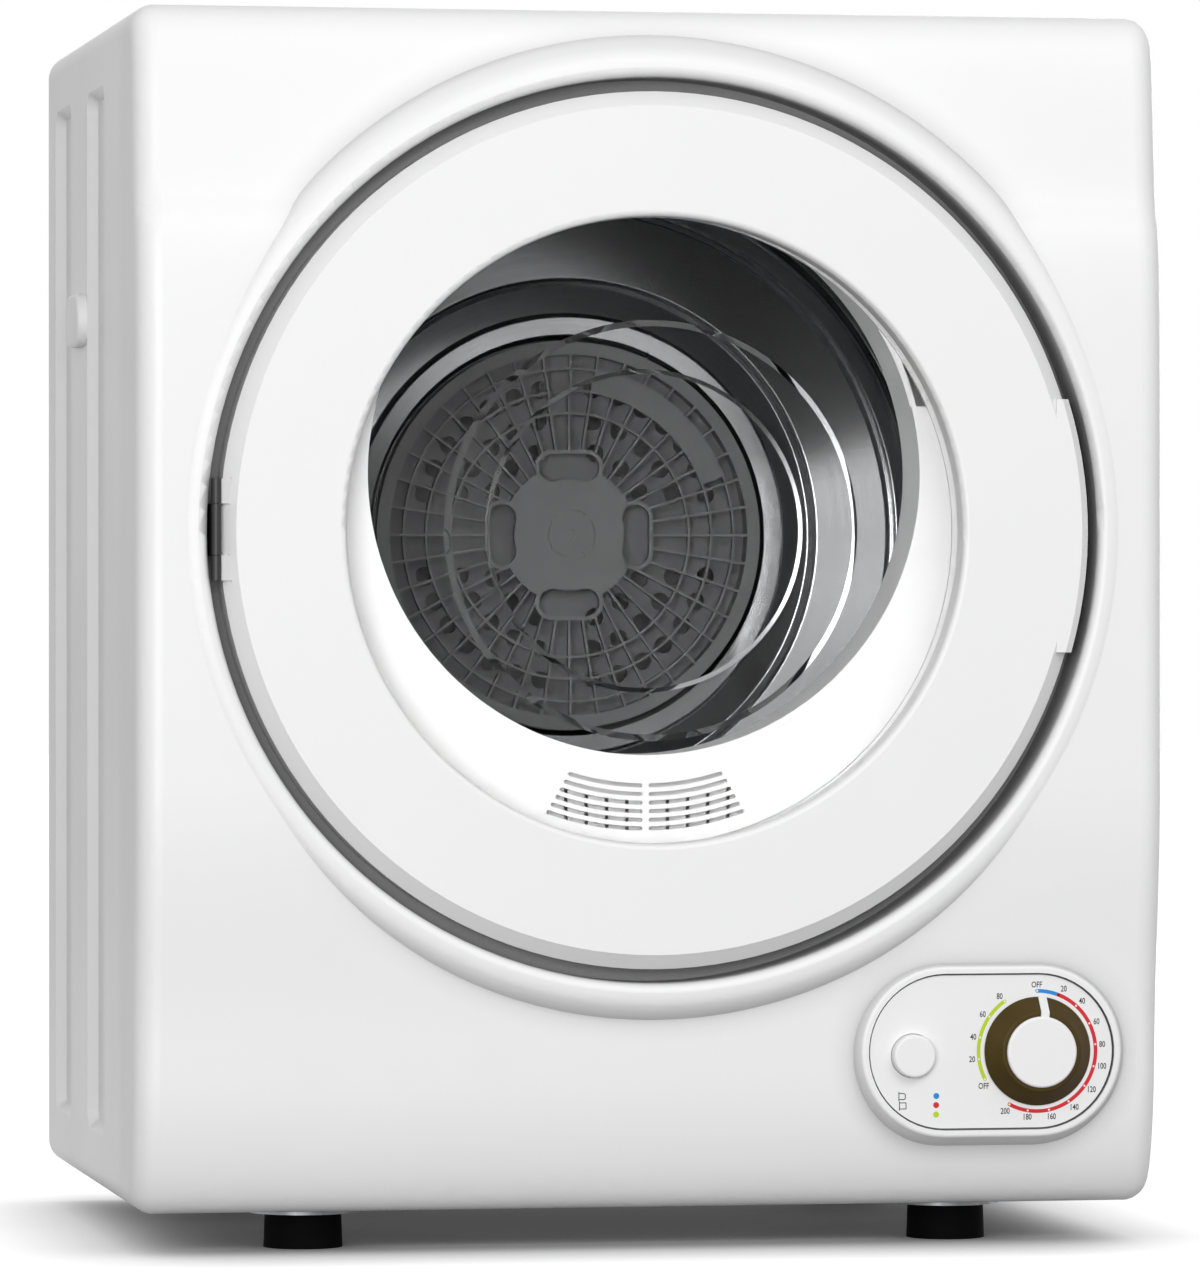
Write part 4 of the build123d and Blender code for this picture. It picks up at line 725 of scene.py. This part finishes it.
@dataclass
class ControlPod(Assembly):
    """The control plate with its knob, button and print.

    Sizes of the print are in mm, and its places are from the knob's axis, across and up.
    """

    finishes: ClassVar[dict[str, Finish]] = {
        "control_plate": GLOSS_ABS,
        "knob_ring": OLIVE_ABS,
        "knob_cap": GLOSS_ABS,
        "heat_button": GLOSS_ABS,
        "timer_shaft": SATIN_PP,
        "timer_body": GREY_PP,
        "heat_switch": BLACK_NYLON,
    }
    film: float = 0.04
    # How far one film stands out over another one that it crosses, as a share of its thickness
    overlap: float = 0.3
    arc_radius: float = 28.75
    arc_width: float = 1.8
    arc_facet: float = 3.0
    end_facets: int = 10
    mark_radius: float = 0.5
    mark_facets: int = 16
    digit_size: float = 4.0
    digit_squeeze: float = 0.75
    digit_weight: float = 0.06
    digit_facets: int = 3
    runs: tuple[DialRun, ...] = (
        DialRun(Programme.COOL, (0.0, 21.4)),
        DialRun(
            Programme.HOT, (21.4, 41.7, 63.2, 84.1, 105.3, 126.0, 147.5, 168.3, 189.2, 208.2)
        ),
        DialRun(Programme.AIR, (242.7, 262.7, 283.6, 305.4, 326.3)),
    )
    labels: tuple[tuple[str, float, float], ...] = (
        ("OFF", -0.2, 31.65), ("20", 13.1, 29.55), ("40", 22.1, 23.65), ("60", 29.2, 13.75),
        ("80", 32.0, 2.85), ("100", 31.8, -7.65), ("120", 26.7, -18.75), ("140", 18.2, -27.15),
        ("160", 7.0, -31.45), ("180", -4.9, -31.55), ("200", -15.7, -28.65),
        ("OFF", -26.2, -16.55), ("20", -31.9, -3.75), ("40", -31.3, 6.95), ("60", -26.7, 17.75),
        ("80", -18.4, 26.25),
    )
    legend: tuple[tuple[Programme, float, float], ...] = (
        (Programme.COOL, -49.4, -20.95), (Programme.HOT, -49.5, -25.3),
        (Programme.AIR, -49.5, -29.8),
    )
    legend_radius: float = 1.45
    legend_facets: int = 32
    # The signs for the button out and in: their places, and the cut of their corners
    signs: tuple[tuple[float, float, float], ...] = ((-66.1, -21.0, 1.2), (-65.8, -25.5, 0.3))
    sign_line: float = 0.42
    sign_wide: float = 3.6
    sign_tall: float = 3.3
    sign_tick: float = 0.5
    sign_facets: int = 4

    def origin(self) -> Vector:
        """The point where the knob's axis meets the plate's face."""
        low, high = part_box("knob_ring")
        middle = (low + high) / 2
        return Vector((middle.x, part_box("control_plate")[0].y, middle.z))

    def upright(self, across: float = 0.0, up: float = 0.0, lift: float = 0.0) -> Matrix:
        """The place of a print that was drawn flat, looking up +Z.

        Args:
            across: Millimetres to the right of the knob's axis.
            up: Millimetres above it.
            lift: Millimetres in front of the plate.

        Returns:
            The matrix from the flat drawing to the plate.
        """
        shift = Vector((across, -lift, up)) * MM
        return Matrix.Translation(self.origin() + shift) @ Facing.FRONT.turn()

    def arc(self, run: DialRun) -> BMesh:
        """Draws an arc with round ends, flat about the knob's axis.

        Args:
            run: The run that the arc is for.

        Returns:
            The flat mesh, in metres.
        """
        bm = bmesh.new()
        radii = [self.arc_radius + side * self.arc_width / 2 for side in (-1, 0, 1)]
        verts = [bm.verts.new((0.0, radius * MM, 0.0)) for radius in radii]
        edges = [bm.edges.new(pair) for pair in zip(verts, verts[1:])]
        first, last = math.radians(run.marks[0]), math.radians(run.marks[-1])
        bmesh.ops.rotate(bm, verts=verts, matrix=Matrix.Rotation(-first, 3, "Z"))
        end = {"axis": (0.0, 0.0, 1.0), "steps": self.end_facets}
        start = [edges[1], *edges[1].verts]
        bmesh.ops.spin(bm, geom=start, cent=verts[1].co.copy(), angle=math.pi, **end)
        steps = round((run.marks[-1] - run.marks[0]) / self.arc_facet)
        sweep = {"cent": (0, 0, 0), "axis": (0.0, 0.0, 1.0), "angle": first - last, "steps": steps}
        swept = bmesh.ops.spin(bm, geom=verts + edges, **sweep)
        _, middle, outer = sorted(only_verts(swept["geom_last"]), key=lambda vert: vert.co.length)
        stop = [bm.edges.get((middle, outer)), middle, outer]
        bmesh.ops.spin(bm, geom=stop, cent=middle.co.copy(), angle=-math.pi, **end)
        bmesh.ops.remove_doubles(bm, verts=bm.verts, dist=WELD)
        return bm

    def pictogram(self, cut: float) -> BMesh:
        """Draws the sign for the button in or out: a wall line with a small box on it.

        Args:
            cut: How far the box's corners are cut, in mm.

        Returns:
            The flat drawing.
        """
        bm = bmesh.new()
        box = bmesh.ops.create_grid(bm, **UNIT_SQUARE)["verts"]
        bmesh.ops.scale(bm, vec=(self.sign_wide * MM, self.sign_tall * MM, 1.0), verts=box)
        corners = [vert for vert in box if vert.co.x > 0]
        rounds = {"segments": self.sign_facets, "profile": 0.5, "material": -1}
        bmesh.ops.bevel(bm, geom=corners, offset=cut * MM, affect="VERTICES", **rounds)
        line = {"thickness": self.sign_line * MM, "use_even_offset": True, "use_boundary": True}
        frame = bmesh.ops.inset_region(bm, faces=bm.faces[:], **line)["faces"]
        inside = [face for face in bm.faces if face not in frame]
        bmesh.ops.delete(bm, geom=inside, context="FACES_ONLY")
        for end in (-1, 1):
            tick = bmesh.ops.create_grid(bm, **UNIT_SQUARE)["verts"]
            bmesh.ops.scale(bm, vec=(self.sign_line * MM, self.sign_tick * MM, 1.0), verts=tick)
            across = -(self.sign_wide - self.sign_line) / 2 * MM
            up = end * (self.sign_tall + self.sign_tick) / 2 * MM
            bmesh.ops.translate(bm, vec=(across, up, 0.0), verts=tick)
        return bm

    def lettering(self, text: str, place: Matrix) -> Mesh:
        """Draws a number as a raised film of ink.

        Args:
            text: The characters.
            place: Where their middle goes.

        Returns:
            The mesh, in place.
        """
        curve = bpy.data.curves.new(text, "FONT")
        curve.body = text
        curve.size = self.digit_size * MM
        curve.align_x = "CENTER"
        curve.align_y = "CENTER"
        curve.offset = self.digit_weight * MM
        curve.extrude = self.film * MM / 2
        curve.resolution_u = self.digit_facets
        spare = add_object(text, curve)
        bpy.context.view_layer.update()
        shown = spare.evaluated_get(bpy.context.evaluated_depsgraph_get())
        drawn = bpy.data.meshes.new_from_object(shown)
        bpy.data.objects.remove(spare)
        bpy.data.curves.remove(curve)
        drawn.transform(place @ Matrix.Diagonal((self.digit_squeeze, 1.0, 1.0, 1.0)))
        return drawn

    def print_film(self, bm: BMesh, name: str, ink: Finish, place: Matrix) -> None:
        """Prints a flat drawing on the plate, as a piece with the thickness of an ink film.

        Args:
            bm: The flat drawing, looking up +Z.
            name: The piece's name.
            ink: The ink.
            place: Where it goes.
        """
        for face in bm.faces:
            if face.normal.z < 0:
                face.normal_flip()
        thicken(bm, bm.faces[:], (0.0, 0.0, self.film * MM))
        bmesh.ops.recalc_face_normals(bm, faces=bm.faces)
        bmesh.ops.transform(bm, matrix=place, verts=bm.verts)
        make_piece(bm, name, "cabinet", ink)

    def build(self, nodes: Nodes) -> None:
        """Prints the arcs, marks, numbers, legend and button signs on the plate."""
        for run in self.runs:
            lift = self.overlap * self.film if run.programme is Programme.HOT else 0.0
            name = f"dial_arc_{run.programme.name.lower()}"
            self.print_film(self.arc(run), name, run.programme.value, self.upright(lift=lift))
        marks = bmesh.new()
        disc = {"segments": self.mark_facets, "radius": self.mark_radius * MM}
        for angle in (angle for run in self.runs for angle in run.marks):
            turn = Matrix.Rotation(math.radians(-angle), 4, "Z")
            at = turn @ Matrix.Translation((0, self.arc_radius * MM, 0))
            bmesh.ops.create_circle(marks, cap_ends=True, matrix=at, **disc)
        above = self.upright(lift=(1.0 + self.overlap) * self.film)
        self.print_film(marks, "dial_marks", INK_WHITE, above)
        numbers = bmesh.new()
        for text, across, up in self.labels:
            drawn = self.lettering(text, self.upright(across, up, self.film / 2))
            numbers.from_mesh(drawn)
            bpy.data.meshes.remove(drawn)
        make_piece(numbers, "dial_numbers", "cabinet", INK_BLACK)
        disc = {"segments": self.legend_facets, "radius": self.legend_radius * MM}
        for programme, across, up in self.legend:
            dot = bmesh.new()
            bmesh.ops.create_circle(dot, cap_ends=True, **disc)
            name = f"legend_dot_{programme.name.lower()}"
            self.print_film(dot, name, programme.value, self.upright(across, up))
        for count, (across, up, cut) in enumerate(self.signs, start=1):
            place = self.upright(across, up)
            self.print_film(self.pictogram(cut), f"button_sign_{count}", INK_BLACK, place)


@dataclass
class Door(Assembly):
    """The white ring door with its clear cup window, seal and hinge."""

    finishes: ClassVar[dict[str, Finish]] = {
        "door_window": CLEAR_PC,
        "door_inner_frame": SATIN_PP,
        "door_seal": SEAL_RUBBER,
        "hinge_pin": BLACK_COAT_AND_SHADE,
        "door_strike": GREY_PP,
    }
    # Where the hinge's knuckles end and its tabs start, in mm from the middle
    knuckle_end: float = -207.7
    # The finger grip's front edge, in mm: its radius, its chamfer, and how near its corners lie
    grip_radius: float = 209.9
    grip_chamfer: float = 3.6
    grip_near: float = 0.3
    # How much a face has to look forwards to be the ring's face, or to the right to be its rim
    face_forward: float = 0.9
    rim_sideways: float = 0.8

    def grip_edge(self, mesh: Mesh) -> list[int]:
        """The corners of the ring's mesh that lie on the finger grip's front edge.

        Args:
            mesh: The ring's mesh.

        Returns:
            The numbers of the corners.
        """
        front = min(vert.co.y for vert in mesh.vertices) + self.grip_near * MM
        inside = (self.grip_radius - self.grip_near) * MM
        middle = Vector((DRUM_AXIS[0], DRUM_AXIS[2]))
        return [
            vert.index
            for vert in mesh.vertices
            if vert.co.y < front and (vert.co.xz - middle).length > inside
        ]

    def chamfered_ring(self, mesh: Mesh) -> Mesh:
        """The door ring with a chamfer on the finger grip's front edge.

        The face and the end walls draw back from the edge, the rim draws in, and a band closes
        the gap.

        Args:
            mesh: The ring's mesh, whose normals are kept.

        Returns:
            The new mesh.
        """
        spots = [vert.co.copy() for vert in mesh.vertices]
        faces = [tuple(face.vertices) for face in mesh.polygons]
        normals = [normal.vector.copy() for normal in mesh.corner_normals]
        facing = {
            corner: face.normal.copy() for face in mesh.polygons for corner in face.vertices
        }
        inward = Vector((-self.grip_chamfer * MM, 0.0, 0.0))
        backward = Vector((0.0, self.grip_chamfer * MM, 0.0))
        tilt = Vector((1.0, -1.0, 0.0)).normalized()
        rows: list[tuple[Vector, Vector]] = []
        for corner in self.grip_edge(mesh):
            place = spots[corner].copy()
            if facing[corner].y < -self.face_forward:
                rows.append((place + inward, place + backward))
            on_rim = facing[corner].x > self.rim_sideways
            spots[corner] = place + (backward if on_rim else inward)
        rows.sort(key=lambda pair: pair[0].z)
        first = len(spots)
        for pair in rows:
            spots.extend(pair)
        for low in range(first, len(spots) - 2, 2):
            faces.append((low, low + 1, low + 3, low + 2))
            normals.extend([tilt] * 4)
        made = bpy.data.meshes.new("door_ring_chamfered")
        made.from_pydata(spots, [], faces)
        made.polygons.foreach_set("use_smooth", [True] * len(faces))
        made.normals_split_custom_set(normals)
        return made

    def build(self, nodes: Nodes) -> None:
        """Adds the frame's cross-head screws, the chamfered ring and the hinge's painted tabs."""
        CrossHeadScrew(Facing.REAR).build(nodes["door_screws"], "door_frame_screws", "door")
        chamfered = self.chamfered_ring(nodes["door_ring"].data)
        ring = add_piece(chamfered, "door_ring_chamfered", "door", GLOSS_ABS)
        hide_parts("door_ring")
        bm = bmesh.new()
        bm.from_mesh(nodes["hinge_leaf"].data)
        # The knuckles in the door groove keep the black coat as painted shade of the groove; the
        # tabs on the lit chamfer get the white
        for face in bm.faces:
            face.material_index = int(face.calc_center_median().x > self.knuckle_end * MM)
        leaf = make_piece(bm, "hinge_leaf_painted", "door", BLACK_COAT_AND_SHADE, TAB_COAT)
        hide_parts("hinge_leaf")


@dataclass
class Drum(Assembly):
    """The stainless drum with its lifters and the lint filter on its rear plate."""

    finishes: ClassVar[dict[str, Finish]] = {
        "drum_shell": DRUM_SHEET,
        "drum_lifters": GREY_PP,
        "drum_spider": BLACK_COAT_AND_SHADE,
        "drum_shaft": TURNED_STEEL,
        "drum_bearing": TURNED_STEEL,
        "filter_backplate": FILTER_BACK,
        "filter_cover": FILTER_PP,
    }
    # Depth behind the front panel's middle and radius of each corner of the rear plate's face, in
    # mm, from the filter out, and then of its flange in the drum's shell
    plate_corners: tuple[tuple[float, float], ...] = (
        (236.0, 92.0), (236.0, 99.0), (226.9, 101.0), (226.0, 110.0), (232.6, 112.0),
        (234.0, 126.0), (230.0, 128.0), (231.0, 130.0), (216.0, 162.0), (222.0, 163.0),
        (222.0, 166.0), (214.5, 167.0), (214.5, 175.0), (222.0, 176.0), (222.0, 178.0),
        (216.0, 180.0), (216.0, 206.0),
    )
    plate_rim: tuple[tuple[float, float], ...] = (
        (224.9, 214.9), (238.0, 214.9), (238.0, 213.7), (225.4, 213.7),
    )
    plate_sheet: float = 1.2
    press_round: float = 0.35
    spin_steps: int = 240
    # Folds sharper than this, in degrees, are rounded and shaded as edges
    crease: float = 10.0

    def rear_plate(self) -> BMesh:
        """The pressed rear plate, with the slight draft on its rings and the rounds on its folds.

        Returns:
            The plate, in the frame's place.
        """
        behind = [(depth + self.plate_sheet, radius) for depth, radius in self.plate_corners[::-1]]
        bm = bmesh.new()
        axis = Vector(DRUM_AXIS)
        corners = [
            bm.verts.new((axis.x + radius * MM, (depth - FRONT_PLANE) * MM, axis.z))
            for depth, radius in (*self.plate_corners, *self.plate_rim, *behind)
        ]
        outline = [bm.edges.new(pair) for pair in zip(corners, corners[1:] + corners[:1])]
        around = {"axis": (0.0, 1.0, 0.0), "angle": math.tau, "steps": self.spin_steps}
        bmesh.ops.spin(bm, geom=corners + outline, cent=axis, use_merge=True, **around)
        bmesh.ops.recalc_face_normals(bm, faces=bm.faces)
        limit = math.radians(self.crease)
        folds = [edge for edge in bm.edges if edge.calc_face_angle() > limit]
        rounds = {"segments": 2, "profile": 0.5, "material": -1}
        bmesh.ops.bevel(bm, geom=folds, offset=self.press_round * MM, affect="EDGES", **rounds)
        for face in bm.faces:
            face.smooth = True
        for edge in bm.edges:
            edge.smooth = edge.calc_face_angle() < limit
        return bm

    def build(self, nodes: Nodes) -> None:
        """Shows the rear plate with its draft and rounds."""
        plate = make_piece(self.rear_plate(), "drum_plate_pressing", "drum", SPUN_SHEET)
        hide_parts("drum_rear_plate")


@dataclass
class Drive(Assembly):
    """The motor with its two belts, the fan and the heater, behind the panels."""

    finishes: ClassVar[dict[str, Finish]] = {
        "motor_body": MOTOR_PAINT,
        "motor_cradle": ZINC_SHEET,
        "motor_shaft": TURNED_STEEL,
        "drum_pulley": CAST_METAL,
        "fan_drive_pulley": CAST_METAL,
        "drum_belt": RUBBER,
        "fan_belt": RUBBER,
        "fan_wheel": GREY_PP,
        "fan_shaft": TURNED_STEEL,
        "fan_pulley": BLACK_NYLON,
        "fan_bearing": TURNED_STEEL,
        "fan_housing": GREY_PP,
        "heater_duct": ZINC_SHEET,
        "heater_element": CERAMIC,
        "thermostat": BLACK_NYLON,
        "capacitor": SATIN_PP,
        "capacitor_cradle": BLACK_NYLON,
    }


@dataclass(frozen=True)
class Prop:
    """A flat thing of the studio."""

    name: str
    place: tuple[float, float, float]
    size: tuple[float, float]


@dataclass(frozen=True)
class Softbox(Prop):
    """One soft lamp that looks at the dryer's middle."""

    power: float


@dataclass(frozen=True)
class Flag(Prop):
    """A black card that only mirrors see, upright before the dryer or flat on the floor."""

    upright: bool


@dataclass
class Studio:
    """A white studio: floor, soft lamps, black cards, an even sky and the photograph's camera."""

    sky: float = 0.42
    floor_half: float = 12.0
    floor_cells: int = 8
    floor_colour: str = "#8c8c8c"
    floor_roughness: float = 0.9
    floor_specular: float = 0.1
    floor_lift: float = 0.92
    painted_shadow_reach: float = 0.08
    painted_shadow_samples: int = 16
    flag_colour: str = "#050505"
    camera_place: tuple[float, float, float] = (-0.67109, -3.69424, 0.30613)
    camera_yaw: float = 10.4192
    camera_pitch: float = -0.2346
    camera_far: float = 100.0
    lens: float = 212.13
    sensor_height: float = 36.0
    lamp_aim: tuple[float, float, float] = (0.0, 0.0, 0.3)
    lamps: tuple[Softbox, ...] = (
        Softbox("key_lamp", (0.9, -3.2, 2.3), (2.6, 1.8), 40.0),
        Softbox("fill_lamp", (-1.2, -3.8, 0.6), (1.6, 1.2), 67.0),
        Softbox("back_lamp", (1.4, 2.8, 0.9), (2.0, 1.4), 38.0),
    )
    flags: tuple[Flag, ...] = (
        Flag("horizon_flag", (0.75, -3.9, 0.45), (1.7, 1.1), True),
        Flag("floor_flag", (0.0, -0.77, 0.004), (2.0, 1.16), False),
    )

    def seen_white(self, tree: Tree, dim: float, bright: float) -> Socket:
        """A strength for the rays that see the background, and another for the light it sheds.

        Args:
            tree: The node tree that takes the nodes.
            dim: The strength for light.
            bright: The strength for sight, in mirrors and through glass as well.

        Returns:
            The strength.
        """
        path = add_node(tree, "ShaderNodeLightPath").outputs
        seen = path["Is Camera Ray"]
        for other in ("Is Glossy Ray", "Is Transmission Ray"):
            seen = calculate(tree, "MAXIMUM", seen, path[other])
        sight = calculate(tree, "LESS_THAN", path["Diffuse Depth"], NO_BOUNCE)
        seen = calculate(tree, "MULTIPLY", seen, sight)
        inputs = {"Value": seen, "To Min": dim, "To Max": bright}
        return add_node(tree, "ShaderNodeMapRange", inputs).outputs["Result"]

    def add_prop(self, bm: BMesh, name: str, material: bpy.types.Material) -> Piece:
        """Puts a mesh in the studio as an object that is no part of the dryer, and frees it."""
        mesh = to_mesh(bm, name)
        mesh.materials.append(material)
        prop = add_object(name, mesh)
        return prop

    def build_sky(self) -> None:
        """An even white sky, plain white where it is seen."""
        world = bpy.data.worlds.new("studio_sky")
        world.use_nodes = True
        tree = world.node_tree
        strength = self.seen_white(tree, self.sky, 1.0)
        feed(tree.nodes["Background"], {"Strength": strength, "Color": (1.0, 1.0, 1.0, 1.0)})
        bpy.context.scene.world = world

    def build_floor(self) -> None:
        """A white floor that keeps the dryer's shadow from the lamps, with a painted contact
        shadow where its glow dims near the dryer.
        """
        paper, tree, shader = node_material("studio_paper")
        feed(shader, {"Base Color": linear(self.floor_colour), "Roughness": self.floor_roughness})
        feed(shader, {"Specular IOR Level": self.floor_specular})
        # Painted contact shadow: ambient occlusion dims the floor's glow near the dryer
        reach = {"Distance": self.painted_shadow_reach}
        painted_shadow = add_node(tree, "ShaderNodeAmbientOcclusion", reach, samples=self.painted_shadow_samples)
        lift = self.seen_white(tree, 0.0, self.floor_lift)
        white = calculate(tree, "MULTIPLY", lift, painted_shadow.outputs["AO"])
        glow = add_node(tree, "ShaderNodeEmission", {"Strength": white})
        both = {0: shader.outputs["BSDF"], 1: glow.outputs["Emission"]}
        set_surface(tree, add_node(tree, "ShaderNodeAddShader", both))
        bm = bmesh.new()
        cells = {"x_segments": self.floor_cells, "y_segments": self.floor_cells}
        bmesh.ops.create_grid(bm, size=self.floor_half, **cells)
        self.add_prop(bm, "floor", paper)

    def build_flags(self) -> None:
        """The black cards, which keep the drum dark and the window clear of glare."""
        cloth, tree, shader = node_material("black_velvet")
        feed(shader, {"Base Color": linear(self.flag_colour), "Roughness": 1.0})
        mirrored = add_node(tree, "ShaderNodeLightPath").outputs["Glossy Depth"]
        clear = add_node(tree, "ShaderNodeBsdfTransparent").outputs["BSDF"]
        both = {0: mirrored, 1: clear, 2: shader.outputs["BSDF"]}
        set_surface(tree, add_node(tree, "ShaderNodeMixShader", both))
        for card in self.flags:
            bm = bmesh.new()
            bmesh.ops.create_grid(bm, **UNIT_SQUARE)
            turn = Matrix.Rotation(math.radians(90.0 if card.upright else 0.0), 4, "X")
            place = Matrix.Translation(card.place) @ turn @ Matrix.Diagonal((*card.size, 1.0, 1.0))
            bmesh.ops.transform(bm, matrix=place, verts=bm.verts)
            flag = self.add_prop(bm, card.name, cloth)
            flag.visible_camera = flag.visible_diffuse = flag.visible_shadow = False

    def build_lamps(self) -> None:
        """The soft lamps, each turned to the dryer's middle."""
        for box in self.lamps:
            light = bpy.data.lights.new(box.name, "AREA")
            light.shape = "RECTANGLE"
            light.size, light.size_y = box.size
            light.energy = box.power
            lamp = add_object(box.name, light)
            lamp.location = box.place
            way = Vector(self.lamp_aim) - Vector(box.place)
            lamp.rotation_euler = way.to_track_quat("-Z", "Y").to_euler()

    def build_camera(self) -> None:
        """The camera at the photograph's angle, for a frame of 1200 by 1278."""
        data = bpy.data.cameras.new("photo_camera")
        data.sensor_fit = "VERTICAL"
        data.sensor_height = self.sensor_height
        data.lens = self.lens
        data.clip_end = self.camera_far
        camera = add_object("photo_camera", data)
        camera.location = self.camera_place
        tilt, turn = math.radians(90.0 + self.camera_pitch), math.radians(-self.camera_yaw)
        camera.rotation_euler = (tilt, 0.0, turn)
        bpy.context.scene.camera = camera

    def build(self) -> None:
        """Sets up the whole studio."""
        bpy.context.scene.view_settings.view_transform = "Standard"
        self.build_sky()
        self.build_floor()
        self.build_flags()
        self.build_lamps()
        self.build_camera()


def main() -> None:
    """Loads the frame, dresses it, adds the pieces and sets up the studio."""
    logging.basicConfig(level=logging.INFO, format="%(name)s %(message)s")
    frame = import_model()
    for group in (Cabinet(), FrontPanel(), ControlPod(), Door(), Drum(), Drive()):
        group.dress(frame["nodes"])
        group.build(frame["nodes"])
    Studio().build()


if __name__ == "__main__":
    main()
